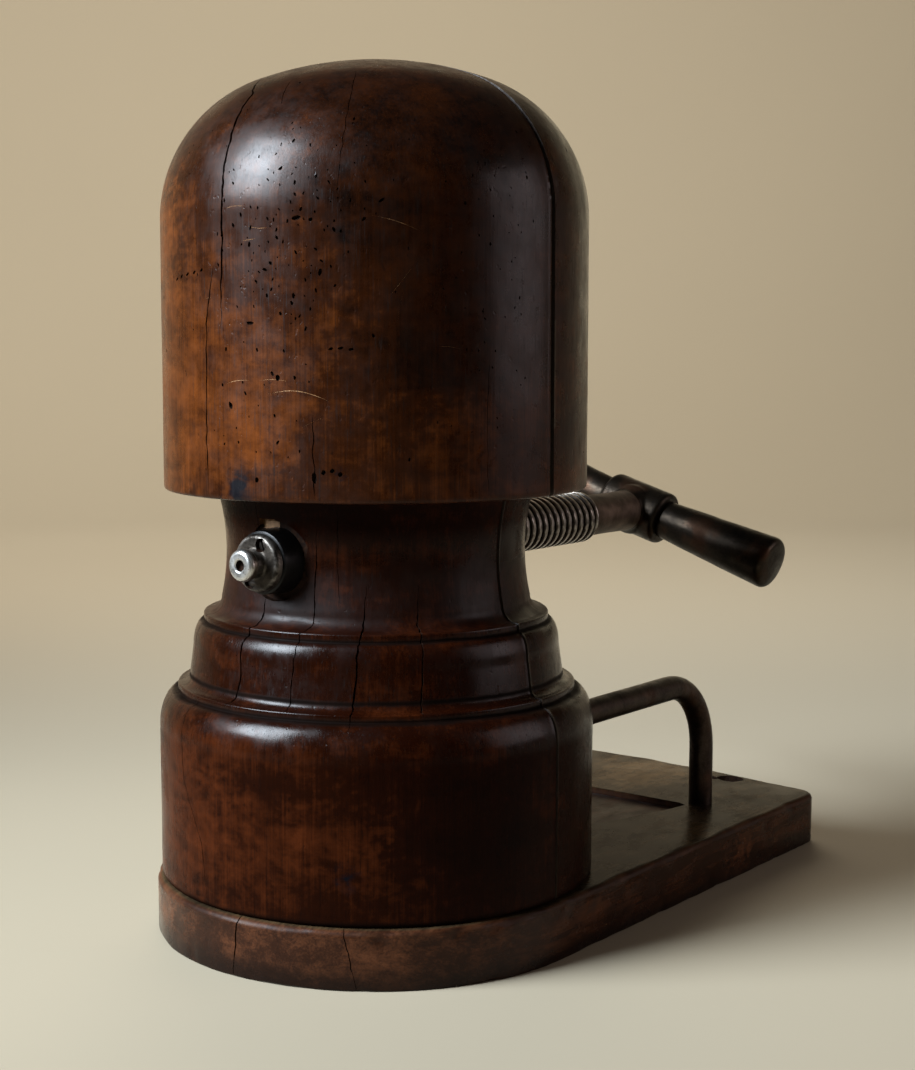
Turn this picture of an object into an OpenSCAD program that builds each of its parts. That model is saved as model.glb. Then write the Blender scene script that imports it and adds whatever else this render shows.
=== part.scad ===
// Hatter's expanding head block: a turned wooden head on a moulded pedestal, both split
// into a fixed front half and a sliding rear half. A tee-handled screw turns in a bearing
// on the front half and draws the rear half along two iron guide stays over a flat board.
// Millimetres. +Z up, the pedestal's axis is X = Y = 0, the board's underside is Z = 0,
// the bearing end of the screw faces -Y and its tee handle +Y.

/* [Head] */
// Radius of the head
head_r = 88; // [84:0.5:90]
// Height of the head's rim above the table
head_bottom = 185.5; // [184:0.5:190]
// Height at which the straight side turns into the shoulder
head_side_top = 294.7; // [280:0.1:310]
// Radius of the round shoulder
head_shoulder_r = 59; // [50:0.5:64]
// Radius of the crown's long arc
head_crown_r = 143.6; // [130:0.1:170]
// Width of the split between the head's halves
head_gap = 2.6; // [1:0.1:4]

/* [Pedestal] */
// Radius of the drum at its widest
drum_r = 91.2; // [90:0.1:92]
// Radius of the neck where the screw passes
neck_r = 62.5; // [60:0.5:64]
// Width of the split between the pedestal's halves
pedestal_gap = 1.5; // [1:0.1:2.5]

/* [Board] */
// Thickness of the board
board_t = 24; // [22:0.5:26]
// Radius of the round nose and half width of the board
board_r = 93; // [92:0.5:96]
// Distance from the pedestal's axis to the board's rear edge
board_rear = 241.5; // [235:0.5:260]
// Depth of the guide recess behind the drum
recess_depth = 3; // [2:0.5:4]

/* [Screw] */
// Height of the screw's axis
screw_z = 160; // [156:0.5:162]
// Outer radius of the thread
thread_r = 12.2; // [11:0.1:12.4]
// Pitch of the thread
thread_pitch = 5; // [4:0.5:6]
// Depth of the thread
thread_depth = 2.2; // [1.5:0.1:2.5]
// Place of the thread's rear end
thread_rear = 157; // [150:1:170]
// Radius of the plain shank behind the thread
shank_r = 10; // [8:0.5:10.5]

/* [Tee handle] */
// Place of the handle's centre line along the screw
handle_y = 212.5; // [205:0.5:225]
// Angle by which the right arm hangs below level
handle_tilt = 17; // [0:1:45]
// Reach of each arm from the screw's axis
arm_reach = 80.5; // [65:0.5:84]
// Radius of an arm beside the socket
arm_root_r = 9.6; // [8:0.1:10.5]
// Radius of an arm near its end
arm_end_r = 12.9; // [10.5:0.1:13.5]
// Radius of the socket's tube
socket_r = 13.2; // [12.5:0.1:14]
// Half the length of the socket's tube
socket_half = 16.8; // [16:0.1:20]

/* [Guide stays] */
// Radius of a stay
stay_r = 5.7; // [4.5:0.1:5.9]
// Distance of each stay from the middle
stay_x = 58; // [54:1:60]
// Height of a stay's level run
stay_z = 84.3; // [82:0.1:86]
// Place of a stay's upright leg
stay_leg_y = 176; // [174:1:190]
// Centre line radius of a stay's bend
stay_bend_r = 32; // [20:1:38]

/* [Hidden] */
$fn = 96;
big = 800;
eps = 0.05;
head_face = head_gap / 2;
pedestal_face = pedestal_gap / 2;
slide_clear = 0.2;

// Pedestal mouldings, from the drum's shoulder up to the neck
drum_side_top = 87;
drum_fillet_r = 83.4;
drum_fillet_bottom = 101.8;
drum_fillet_top = 104.8;
band_bottom = [78.4, 108.5];
band_top = [76.8, 120.5];
neck_fillet_r = 72.3;
neck_fillet_bottom = 130.6;
neck_fillet_top = 134;
neck_cove_r = 6.4;
neck_foot_z = neck_fillet_top + neck_cove_r;
neck_sweep_r = 88;
drum_base_round = 1.5;
// Narrow ledges left where one moulding meets the next
drum_ledge = 0.3;
cove_ledge = 1;
neck_ledge = 0.2;

// Head: small bevel of the rim
head_rim_bevel = 1.2;

// Board: the rear edge is one long shallow arc, a little askew
board_rear_arc_r = 730;
board_rear_skew = 6.5;
board_corner_r = 9;
recess_rear = 170;
recess_front = 5;

// Screw: stations along Y, from the bearing end to the handle
knob_r = 6.4;
knob_front = -84.2;
knob_back = -79.5;
knob_hole_r = 2.15;
knob_hole_depth = 2.4;
knob_stem_r = 2.5;
knob_stem_length = 12;
journal_r = 4;
journal_front = knob_back;
shaft_front = -52;
shaft_r = 8.5;
shaft_bore_r = 9.2;
collar_r = 14;
collar_front = -5.5;
collar_back = -1.5;
thread_front = collar_back;
shank_back = handle_y - 14;
shank_tenon_r = 7;
shank_tenon_back = handle_y - 6;
knob_round = 2;
knob_bevel = 0.6;
knob_hole_bevel = 0.4;
knob_hole_tip = 0.8;
stem_room = 0.5;

// Thread: plain length before the first groove, end bevel, and the shares of one pitch
// at which a groove reaches its root, leaves it and regains the crest
thread_plain = 4;
thread_bevel = 1.2;
root_start = 0.27;
root_end = 0.5;
crest_start = 0.77;

// Tee handle: tenons, the socket's rims and flared neck, and the arms' domed ends
arm_tenon_r = 5.5;
arm_tenon_length = 10;
arm_edge_r = 3.2;
arm_edge_inset = 4.4;
arm_taper_inset = 5;
socket_rim_round = 2;
socket_flare_r = 4.5;
socket_flare_length = 5.2;
socket_flare_angle = 60;
socket_neck_r = shank_r + 1;
socket_neck_inset = 4;

// Bearing at the front of the neck
flange_front = -75;
flange_back = -71.5;
flange_r = 11.5;
flange_hub_r = 5.4;
running_fit = 0.05;
boss_back = -60.8;
boss_base_r = 13.1;
boss_face_r = 12.6;
spotface_r = 16;
flange_screw_pcr = 8;
flange_screw_turn = 22;

// Iron plates let into the halves' flat faces
thrust_plate_size = [56, 4, 36];
thrust_plate_back = collar_front;
thrust_plate_front = thrust_plate_back - thrust_plate_size[1];
nut_plate_size = [64, 8, 40];
nut_plate_front = 2;
nut_plate_back = nut_plate_front + nut_plate_size[1];
nut_running_gap = 0.06;
plate_screw_inset = 7;
let_in_gap = 0.1;
shaft_running_gap = 0.2;

// Guide stays
stay_front = -30;
stay_bottom = 1.6;
stay_bend_y = stay_leg_y - stay_bend_r;
stay_bend_z = stay_z - stay_bend_r;
stay_slide_gap = 0.35;
stay_nut_size = 16;
stay_nut_t = 6;
stay_nut_pocket_r = 13;
stay_nut_pocket_t = 8;

// Dowels and wood screws
dowel_r = 6;
dowel_x = 42;
dowel_y = 30;
dowel_bottom = 160;
dowel_top = 212;
base_screw_places = [[-48, -46], [48, -46], [0, -24]];
base_screw_r = 3;
base_screw_head_r = 6;
base_screw_top = 58;
base_screw_recess = 2;
plate_screw_r = 2.2;
plate_screw_head_r = 4.2;
plate_screw_length = 22;
flange_screw_r = 1.8;
flange_screw_head_r = 2.4;
flange_screw_length = 20;
slot_w = 1;
slot_depth = 1.1;
pilot_extra = 0.5;

// Slide key under the rear half
key_half = 25;
key_front = 12;
key_back = 82;
key_bottom = board_t - recess_depth + 0.4;
key_top = 31;
key_screw_places = [28, 66];

// ---- outlines and shared shapes ----

// Points of an arc in the plane of a turned outline
function arc(centre_r, centre_z, r, from, to, steps) =
    [for (i = [0:steps]) let (a = from + (to - from) * i / steps)
        [centre_r + r * cos(a), centre_z + r * sin(a)]];

// Points of a quarter-ellipse ovolo, from its lower outer end to its upper inner end
function ovolo(lower, upper, steps) =
    [for (i = [0:steps]) let (a = 90 * i / steps)
        [upper[0] + (lower[0] - upper[0]) * cos(a), lower[1] + (upper[1] - lower[1]) * sin(a)]];

// Points of a quarter-ellipse cove, from its lower outer end to its upper inner end
function cove(lower, upper, steps) =
    [for (i = [0:steps]) let (a = 90 * i / steps)
        [lower[0] - (lower[0] - upper[0]) * sin(a), upper[1] - (upper[1] - lower[1]) * cos(a)]];

// Height of the crown arc's centre, which lies on the axis
crown_centre_z = head_side_top
    - sqrt(pow(head_crown_r - head_shoulder_r, 2) - pow(head_r - head_shoulder_r, 2));
shoulder_end = atan2(head_side_top - crown_centre_z, head_r - head_shoulder_r);
head_outline = concat(
    [[0, head_bottom], [head_r - head_rim_bevel, head_bottom],
     [head_r, head_bottom + head_rim_bevel]],
    arc(head_r - head_shoulder_r, head_side_top, head_shoulder_r, 0, shoulder_end, 22),
    arc(0, crown_centre_z, head_crown_r, shoulder_end + 1.5, 90, 12));

neck_sweep_half = asin((head_bottom - screw_z) / neck_sweep_r);
neck_sweep_foot = asin((screw_z - neck_foot_z) / neck_sweep_r);
neck_foot_r = neck_r + neck_sweep_r * (1 - cos(neck_sweep_foot));
pedestal_outline = concat(
    [[0, board_t], [drum_r - drum_base_round, board_t], [drum_r, board_t + drum_base_round]],
    ovolo([drum_r, drum_side_top], [drum_fillet_r + drum_ledge, drum_fillet_bottom], 12),
    [[drum_fillet_r, drum_fillet_bottom], [drum_fillet_r, drum_fillet_top]],
    cove([drum_fillet_r - cove_ledge, drum_fillet_top], band_bottom, 6),
    ovolo(band_top, [neck_fillet_r + neck_ledge, neck_fillet_bottom], 8),
    [[neck_fillet_r, neck_fillet_bottom], [neck_fillet_r, neck_fillet_top]],
    cove([neck_foot_r + neck_cove_r, neck_fillet_top], [neck_foot_r, neck_foot_z], 7),
    arc(neck_r + neck_sweep_r, screw_z, neck_sweep_r,
        180 + neck_sweep_foot - 1, 180 - neck_sweep_half, 12),
    [[0, head_bottom]]);

// Everything on one side of the split; side -1 is the front, 1 the rear
module half_space(side, face) {
    translate([-big / 2, side > 0 ? face : -big - face, -big / 2])
        cube([big, big, big]);
}

// Cylinder along Y between two stations, on the screw's axis or beside it
module rod_y(from, to, r, x = 0, z = screw_z) {
    translate([x, from, z])
        rotate([-90, 0, 0])
            cylinder(h = to - from, r = r);
}

// Cone along Y between two stations
module cone_y(from, to, r_from, r_to, x = 0, z = screw_z) {
    translate([x, from, z])
        rotate([-90, 0, 0])
            cylinder(h = to - from, r1 = r_from, r2 = r_to);
}

// Runs its children once on each side of the middle
module both_sides(x) {
    for (side = [-1, 1])
        translate([side * x, 0, 0])
            children();
}

// Slotted countersunk wood screw, head up at the origin, shank pointing down
module wood_screw(r, head_r, length) {
    difference() {
        union() {
            translate([0, 0, -head_r + r])
                cylinder(h = head_r - r, r1 = r, r2 = head_r);
            translate([0, 0, -length])
                cylinder(h = length - head_r + r + eps, r = r);
        }
        translate([-head_r, -slot_w / 2, -slot_depth])
            cube([2 * head_r, slot_w, 2 * slot_depth]);
    }
}

// Room for such a screw in a plate or in wood
module wood_screw_room(r, head_r, length) {
    translate([0, 0, -head_r + r - eps])
        cylinder(h = head_r - r + 2 * eps, r1 = r + eps, r2 = head_r + 3 * eps);
    translate([0, 0, -length - pilot_extra])
        cylinder(h = length + pilot_extra - head_r + r, r = r + eps);
}

// Four places near the corners of a plate in the screw's cross plane
module plate_corners(size) {
    for (sx = [-1, 1], sz = [-1, 1])
        translate([sx * (size[0] / 2 - plate_screw_inset), 0,
                   screw_z + sz * (size[2] / 2 - plate_screw_inset)])
            children();
}

// Two places of the bearing flange's screws
module flange_screw_places() {
    for (turn = [0, 180])
        translate([0, flange_front, screw_z])
            rotate([0, turn + flange_screw_turn, 0])
                translate([0, 0, flange_screw_pcr])
                    rotate([90, 0, 0])
                        children();
}

// Upright places of the dowels in one half
module dowel_places(side) {
    both_sides(dowel_x)
        translate([0, side * dowel_y, 0])
            children();
}

// ---- wooden pieces ----

// Flat outline of the board: round nose, straight sides, shallow skewed rear arc
module board_outline() {
    difference() {
        union() {
            circle(r = board_r);
            intersection() {
                translate([-board_r, 0])
                    square([2 * board_r, board_rear + 40]);
                translate(rear_arc_centre)
                    circle(r = board_rear_arc_r, $fn = 360);
            }
        }
        rear_corner(1);
        rear_corner(-1);
    }
}

// Centre of the rear arc, and the rear edge's place at a distance x from the middle
rear_arc_centre = (board_rear - board_rear_arc_r) * [sin(board_rear_skew), cos(board_rear_skew)];
function rear_edge(x) =
    rear_arc_centre[1] + sqrt(pow(board_rear_arc_r, 2) - pow(x - rear_arc_centre[0], 2));

// Sliver cut off one rear corner to round it
module rear_corner(side) {
    centre_x = side * (board_r - board_corner_r);
    translate([centre_x, rear_edge(centre_x) - board_corner_r])
        difference() {
            translate([side > 0 ? 0 : -board_corner_r - 1, 0])
                square([board_corner_r + 1, board_corner_r + 6]);
            circle(r = board_corner_r, $fn = 48);
        }
}

// Shallow recess that the slide key runs in; its sides splay towards the rear
module board_recess() {
    translate([0, 0, board_t - recess_depth])
        linear_extrude(height = recess_depth + 1)
            polygon([[-30, recess_front], [30, recess_front], [32, 91], [38.5, 110], [45, 128],
                     [54.5, recess_rear], [-54.5, recess_rear], [-45, 128], [-38.5, 110], [-32, 91]]);
}

module base_board() {
    color([0.16, 0.09, 0.06])
        difference() {
            linear_extrude(height = board_t)
                board_outline();
            board_recess();
            both_sides(stay_x)
                translate([0, stay_leg_y, -1]) {
                    cylinder(h = board_t + 2, r = stay_r + eps);
                    cylinder(h = 1 + stay_nut_pocket_t, r = stay_nut_pocket_r);
                }
            for (p = base_screw_places)
                translate([p[0], p[1], -1]) {
                    cylinder(h = board_t + 2, r = base_screw_r + eps);
                    cylinder(h = 1 + base_screw_recess + eps, r = base_screw_head_r + 0.3);
                    translate([0, 0, 1 + base_screw_recess])
                        cylinder(h = base_screw_head_r - base_screw_r + eps,
                                 r1 = base_screw_head_r + 0.15, r2 = base_screw_r);
                }
        }
}

// Turned pedestal, cut to one side of the split
module pedestal_half(side) {
    intersection() {
        rotate_extrude($fn = 180)
            polygon(pedestal_outline);
        half_space(side, pedestal_face);
    }
}

module pedestal_front() {
    color([0.21, 0.09, 0.06])
        difference() {
            pedestal_half(-1);
            rod_y(shaft_front, 1, shaft_bore_r);
            rod_y(-big / 4, shaft_front + 1, journal_r + 1);
            rod_y(-big / 4, boss_back, spotface_r);
            translate([-thrust_plate_size[0] / 2 - let_in_gap, thrust_plate_front - let_in_gap,
                       screw_z - thrust_plate_size[2] / 2 - let_in_gap])
                cube([thrust_plate_size[0] + 2 * let_in_gap, -thrust_plate_front + 2,
                      thrust_plate_size[2] + 2 * let_in_gap]);
            plate_corners(thrust_plate_size)
                translate([0, thrust_plate_back, 0])
                    rotate([-90, 0, 0])
                        wood_screw_room(plate_screw_r, plate_screw_head_r, plate_screw_length);
            flange_screw_places()
                wood_screw_room(flange_screw_r, flange_screw_head_r, flange_screw_length);
            both_sides(stay_x)
                rod_y(stay_front - 1, 1, stay_r + eps, 0, stay_z);
            dowel_places(-1)
                translate([0, 0, dowel_bottom - 1])
                    cylinder(h = big / 4, r = dowel_r + eps);
            for (p = base_screw_places)
                translate([p[0], p[1], board_t - 1])
                    cylinder(h = base_screw_top - board_t + 2, r = base_screw_r + eps);
        }
}

module pedestal_rear() {
    color([0.21, 0.09, 0.06])
        difference() {
            intersection() {
                pedestal_half(1);
                translate([-big / 2, -big / 2, board_t + slide_clear])
                    cube(big);
            }
            rod_y(-1, big / 4, thread_r + 1.3);
            translate([-nut_plate_size[0] / 2 - let_in_gap, -1,
                       screw_z - nut_plate_size[2] / 2 - let_in_gap])
                cube([nut_plate_size[0] + 2 * let_in_gap, nut_plate_back + let_in_gap + 1,
                      nut_plate_size[2] + 2 * let_in_gap]);
            plate_corners(nut_plate_size)
                translate([0, nut_plate_front, 0])
                    rotate([90, 0, 0])
                        wood_screw_room(plate_screw_r, plate_screw_head_r, plate_screw_length);
            both_sides(stay_x)
                rod_y(-1, big / 4, stay_r + stay_slide_gap, 0, stay_z);
            dowel_places(1)
                translate([0, 0, dowel_bottom - 1])
                    cylinder(h = big / 4, r = dowel_r + eps);
            translate([-key_half - let_in_gap, key_front - let_in_gap, 0])
                cube([2 * (key_half + let_in_gap), key_back - key_front + 2 * let_in_gap,
                      key_top + let_in_gap]);
            slide_key_screw_places()
                wood_screw_room(plate_screw_r, plate_screw_head_r, plate_screw_length);
        }
}

// Domed head, cut to one side of the split
module head_half(side) {
    difference() {
        intersection() {
            rotate_extrude($fn = 180)
                polygon(head_outline);
            half_space(side, head_face);
        }
        dowel_places(side)
            translate([0, 0, head_bottom - 1])
                cylinder(h = dowel_top - head_bottom + 2, r = dowel_r + eps);
    }
}

module head_front() {
    color([0.33, 0.15, 0.08])
        head_half(-1);
}

module head_rear() {
    color([0.33, 0.15, 0.08])
        head_half(1);
}

// Pair of dowels that pin one head half to its pedestal half
module head_dowels(side) {
    dowel_places(side)
        translate([0, 0, dowel_bottom])
            cylinder(h = dowel_top - dowel_bottom, r = dowel_r);
}

module head_dowels_front() {
    color([0.55, 0.4, 0.25])
        head_dowels(-1);
}

module head_dowels_rear() {
    color([0.55, 0.4, 0.25])
        head_dowels(1);
}

// Hardwood key that slides in the board's recess
module slide_key() {
    color([0.3, 0.2, 0.12])
        difference() {
            translate([-key_half, key_front, key_bottom])
                cube([2 * key_half, key_back - key_front, key_top - key_bottom]);
            slide_key_screw_places()
                wood_screw_room(plate_screw_r, plate_screw_head_r, plate_screw_length);
        }
}

// Black turned boss between the neck and the bearing flange
module bearing_boss() {
    color([0.03, 0.03, 0.03])
        difference() {
            cone_y(flange_back, boss_back, boss_face_r, boss_base_r);
            rod_y(flange_back - 1, boss_back + 1, journal_r + 1);
            flange_screw_places()
                wood_screw_room(flange_screw_r, flange_screw_head_r, flange_screw_length);
        }
}

// ---- iron pieces ----

module bearing_flange() {
    color([0.4, 0.4, 0.4])
        difference() {
            union() {
                rod_y(flange_front, flange_back, flange_r);
                rod_y(knob_back, flange_front + eps, flange_hub_r);
            }
            rod_y(knob_back - 1, flange_back + 1, journal_r + running_fit);
            flange_screw_places()
                wood_screw_room(flange_screw_r, flange_screw_head_r, flange_screw_length);
        }
}

module flange_screws() {
    color([0.1, 0.1, 0.1])
        flange_screw_places()
            wood_screw(flange_screw_r, flange_screw_head_r, flange_screw_length);
}

module thrust_plate() {
    color([0.35, 0.34, 0.33])
        difference() {
            translate([-thrust_plate_size[0] / 2, thrust_plate_front,
                       screw_z - thrust_plate_size[2] / 2])
                cube(thrust_plate_size);
            rod_y(-big / 4, 1, shaft_r + shaft_running_gap);
            plate_corners(thrust_plate_size)
                translate([0, thrust_plate_back, 0])
                    rotate([-90, 0, 0])
                        wood_screw_room(plate_screw_r, plate_screw_head_r, plate_screw_length);
        }
}

module thrust_plate_screws() {
    color([0.2, 0.2, 0.2])
        plate_corners(thrust_plate_size)
            translate([0, thrust_plate_back, 0])
                rotate([-90, 0, 0])
                    wood_screw(plate_screw_r, plate_screw_head_r, plate_screw_length);
}

module nut_plate() {
    color([0.35, 0.34, 0.33])
        difference() {
            translate([-nut_plate_size[0] / 2, nut_plate_front,
                       screw_z - nut_plate_size[2] / 2])
                cube(nut_plate_size);
            rod_y(-1, big / 4, thread_r + nut_running_gap);
            plate_corners(nut_plate_size)
                translate([0, nut_plate_front, 0])
                    rotate([90, 0, 0])
                        wood_screw_room(plate_screw_r, plate_screw_head_r, plate_screw_length);
        }
}

module nut_plate_screws() {
    color([0.2, 0.2, 0.2])
        plate_corners(nut_plate_size)
            translate([0, nut_plate_front, 0])
                rotate([90, 0, 0])
                    wood_screw(plate_screw_r, plate_screw_head_r, plate_screw_length);
}

// Outline of the spindle as radius and station pairs; the thread is a row of grooves
thread_turns = floor((thread_rear - thread_front - thread_pitch) / thread_pitch);
thread_root_r = thread_r - thread_depth;
thread_points = [for (i = [0:thread_turns - 1])
    let (y = thread_front + thread_plain + i * thread_pitch)
        each [[thread_r, y], [thread_root_r, y + root_start * thread_pitch],
              [thread_root_r, y + root_end * thread_pitch],
              [thread_r, y + crest_start * thread_pitch]]];
spindle_outline = concat(
    [[knob_stem_r + eps, journal_front], [journal_r, journal_front], [journal_r, shaft_front],
     [shaft_r, shaft_front], [shaft_r, collar_front], [collar_r, collar_front],
     [collar_r, collar_back], [thread_r, thread_front]],
    thread_points,
    [[thread_r, thread_rear - thread_bevel], [thread_r - thread_bevel, thread_rear],
     [shank_r, thread_rear],
     [shank_r, shank_back], [shank_tenon_r, shank_back], [shank_tenon_r, shank_tenon_back],
     [0, shank_tenon_back], [0, journal_front + knob_stem_length + stem_room],
     [knob_stem_r + eps, journal_front + knob_stem_length + stem_room]]);

module screw_spindle() {
    color([0.36, 0.3, 0.26])
        translate([0, 0, screw_z])
            rotate([-90, 0, 0])
                rotate_extrude($fn = 96)
                    polygon(spindle_outline);
}

module end_knob() {
    color([0.75, 0.75, 0.75])
        translate([0, 0, screw_z])
            rotate([-90, 0, 0])
                rotate_extrude($fn = 64)
                    polygon(concat(
                        [[0, knob_front + knob_hole_depth],
                         [knob_hole_r, knob_front + knob_hole_depth - knob_hole_tip],
                         [knob_hole_r, knob_front + knob_hole_bevel],
                         [knob_hole_r + knob_hole_bevel, knob_front]],
                        arc(knob_r - knob_round, knob_front + knob_round, knob_round, -80, 0, 6),
                        [[knob_r, knob_back - knob_bevel], [knob_r - knob_bevel, knob_back],
                         [knob_stem_r, knob_back], [knob_stem_r, knob_back + knob_stem_length],
                         [0, knob_back + knob_stem_length]]));
}

// Turns what lies along +X into the right arm's direction about the handle's centre
module along_arm(side) {
    translate([0, handle_y, screw_z])
        rotate([0, handle_tilt + (side < 0 ? 180 : 0), 0])
            children();
}

// Outline of the flared neck between the shank and the socket's tube
socket_flare = [for (i = [0:5]) let (a = socket_flare_angle * i / 5)
    [shank_r + socket_flare_r * (1 - cos(a)), shank_back + socket_flare_length * sin(a)]];

// Tube across the end of the shank, with a flared neck that grips the shank's tenon
module tee_socket() {
    color([0.2, 0.14, 0.11])
        difference() {
            union() {
                along_arm(1)
                    rotate([0, 90, 0])
                        socket_tube();
                translate([0, 0, screw_z])
                    rotate([-90, 0, 0])
                        rotate_extrude($fn = 96)
                            polygon(concat(
                                [[0, shank_back], [shank_r, shank_back]],
                                socket_flare,
                                [[0, socket_flare[len(socket_flare) - 1][1]]]));
                rod_y(shank_back + socket_neck_inset, handle_y, socket_neck_r);
            }
            rod_y(shank_back - 1, shank_tenon_back + stem_room, shank_tenon_r + eps);
            along_arm(1)
                rotate([0, 90, 0])
                    difference() {
                        cylinder(h = 2 * socket_half + 2, r = arm_tenon_r + eps, center = true);
                        cylinder(h = 2 * (socket_half - arm_tenon_length), r = big, center = true);
                    }
        }
}

// Tube of the socket about its own axis, with rounded rims
module socket_tube() {
    rotate_extrude($fn = 96)
        polygon(concat(
            [[0, -socket_half]],
            arc(socket_r - socket_rim_round, -socket_half + socket_rim_round,
                socket_rim_round, -90, 0, 5),
            arc(socket_r - socket_rim_round, socket_half - socket_rim_round,
                socket_rim_round, 0, 90, 5),
            [[0, socket_half]]));
}

// Turned arm: tenon, long taper and domed end, along its own axis
module handle_arm() {
    rotate([0, 90, 0])
        rotate_extrude($fn = 96)
            polygon(concat(
                [[0, socket_half - arm_tenon_length + eps],
                 [arm_tenon_r, socket_half - arm_tenon_length + eps],
                 [arm_tenon_r, socket_half], [arm_root_r, socket_half],
                 [arm_end_r, arm_reach - arm_taper_inset]],
                arc(arm_end_r - arm_edge_r, arm_reach - arm_edge_inset, arm_edge_r, 10, 72, 5),
                [[0, arm_reach]]));
}

module handle_arm_right() {
    color([0.2, 0.14, 0.11])
        along_arm(1)
            handle_arm();
}

module handle_arm_left() {
    color([0.2, 0.14, 0.11])
        along_arm(-1)
            handle_arm();
}

// Round iron stay: level run out of the front half, one bend, and a leg through the board
module guide_stay(side) {
    translate([side * stay_x, 0, 0]) {
        rod_y(stay_front, stay_bend_y, stay_r, 0, stay_z);
        translate([0, stay_leg_y, stay_bottom])
            cylinder(h = stay_bend_z - stay_bottom, r = stay_r);
        translate([0, stay_bend_y, stay_bend_z])
            rotate([90, 0, 90])
                rotate_extrude(angle = 90)
                    translate([stay_bend_r, 0])
                        circle(r = stay_r);
    }
}

module guide_stay_right() {
    color([0.18, 0.12, 0.1])
        guide_stay(1);
}

module guide_stay_left() {
    color([0.18, 0.12, 0.1])
        guide_stay(-1);
}

module stay_nuts() {
    color([0.2, 0.18, 0.17])
        both_sides(stay_x)
            translate([0, stay_leg_y, stay_nut_pocket_t - stay_nut_t - eps])
                difference() {
                    translate([-stay_nut_size / 2, -stay_nut_size / 2, 0])
                        cube([stay_nut_size, stay_nut_size, stay_nut_t]);
                    translate([0, 0, -1])
                        cylinder(h = stay_nut_t + 2, r = stay_r + eps);
                }
}

// Screws that rise through the board into the front half
module base_screws() {
    color([0.2, 0.2, 0.2])
        for (p = base_screw_places)
            translate([p[0], p[1], base_screw_recess])
                rotate([180, 0, 0])
                    wood_screw(base_screw_r, base_screw_head_r, base_screw_top - base_screw_recess);
}

// Two places of the slide key's screws, heads down
module slide_key_screw_places() {
    for (y = key_screw_places)
        translate([0, y, key_bottom])
            rotate([180, 0, 0])
                children();
}

module slide_key_screws() {
    color([0.2, 0.2, 0.2])
        slide_key_screw_places()
            wood_screw(plate_screw_r, plate_screw_head_r, plate_screw_length);
}

base_board();
pedestal_front();
pedestal_rear();
head_front();
head_rear();
head_dowels_front();
head_dowels_rear();
base_screws();
bearing_boss();
bearing_flange();
flange_screws();
thrust_plate();
thrust_plate_screws();
nut_plate();
nut_plate_screws();
screw_spindle();
end_knob();
tee_socket();
handle_arm_right();
handle_arm_left();
guide_stay_right();
guide_stay_left();
stay_nuts();
slide_key();
slide_key_screws();
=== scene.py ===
"""Looks of an expanding hat block: old polished wood, dark iron and a worn steel screw.

Shapes are drawn in millimetres in the CAD frame and scaled to metres when a piece is finished.
"""
import math
import random

import bmesh
import bpy
from mathutils import Matrix, Vector, noise


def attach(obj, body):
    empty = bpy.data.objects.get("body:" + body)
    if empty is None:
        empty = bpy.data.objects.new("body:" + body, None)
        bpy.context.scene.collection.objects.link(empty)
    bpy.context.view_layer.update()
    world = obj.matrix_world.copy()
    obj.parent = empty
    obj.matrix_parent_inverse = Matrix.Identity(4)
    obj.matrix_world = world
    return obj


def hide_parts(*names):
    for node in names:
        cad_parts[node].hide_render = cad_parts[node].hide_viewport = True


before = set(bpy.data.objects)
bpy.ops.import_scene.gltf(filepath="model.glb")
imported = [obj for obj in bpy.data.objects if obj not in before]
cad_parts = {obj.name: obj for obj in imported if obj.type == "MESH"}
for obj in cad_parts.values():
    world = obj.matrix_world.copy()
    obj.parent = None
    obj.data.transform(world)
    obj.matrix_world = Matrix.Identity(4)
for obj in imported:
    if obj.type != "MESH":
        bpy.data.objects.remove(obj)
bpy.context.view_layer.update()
rng = random.Random(11)
TO_METRES = Matrix.Scale(0.001, 4)
UP = Vector((0, 0, 1))
CREVICE_INDEX, SCRATCH_INDEX, BARE_INDEX = 1, 2, 3

# ---- sizes, in millimetres, as the CAD model has them ----

HEAD_R = 88
HEAD_BOTTOM = 185.5
HEAD_SIDE_TOP = 294.7
HEAD_SHOULDER_R = 59
HEAD_CROWN_R = 143.6
HEAD_FACE = 1.3

DRUM_R = 91.2
DRUM_SIDE_TOP = 87
DRUM_FILLET_R = 83.4
DRUM_FILLET = (101.8, 104.8)
BAND_BOTTOM = (78.4, 108.5)
BAND_TOP = (76.8, 120.5)
NECK_FILLET_R = 72.3
NECK_FILLET = (130.6, 134)
NECK_COVE_R = 6.4
NECK_R = 62.5
NECK_SWEEP_R = 88
PEDESTAL_FACE = 0.75
SLIDE_CLEAR = 0.2

BOARD_T = 24
BOARD_R = 93
BOARD_REAR = 241.5
BOARD_REAR_ARC_R = 730
BOARD_REAR_SKEW = math.radians(6.5)
BOARD_CORNER_R = 9
RECESS_DEPTH = 3
RECESS_REAR = 170

SCREW_Z = 160
KNOB_R = 6.4
KNOB_FRONT = -84.2
KNOB_BACK = -79.5
KNOB_HOLE_R = 2.15
KNOB_PIN_R = 2.5
FLANGE_FRONT = -75
FLANGE_BACK = -71.5
FLANGE_R = 11.5
FLANGE_HUB_R = 5.4
FLANGE_SCREW_PCR = 8
FLANGE_SCREW_TURN = math.radians(22)
FLANGE_SCREW_HEAD_R = 2.4
FLANGE_SCREW_R = 1.8
BOSS_BACK = -60.8
BOSS_FACE_R = 12.6
BOSS_BASE_R = 13.1
SPOTFACE_R = 16
JOURNAL_R = 4
SHAFT_FRONT = -52
SHAFT_R = 8.5
SHAFT_BORE_R = 9.2
COLLAR_R = 14
COLLAR = (-5.5, -1.5)
THREAD_R = 12.2
THREAD_DEPTH = 2.2
THREAD_PITCH = 5
THREAD_REAR = 157
SHANK_R = 10

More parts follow.
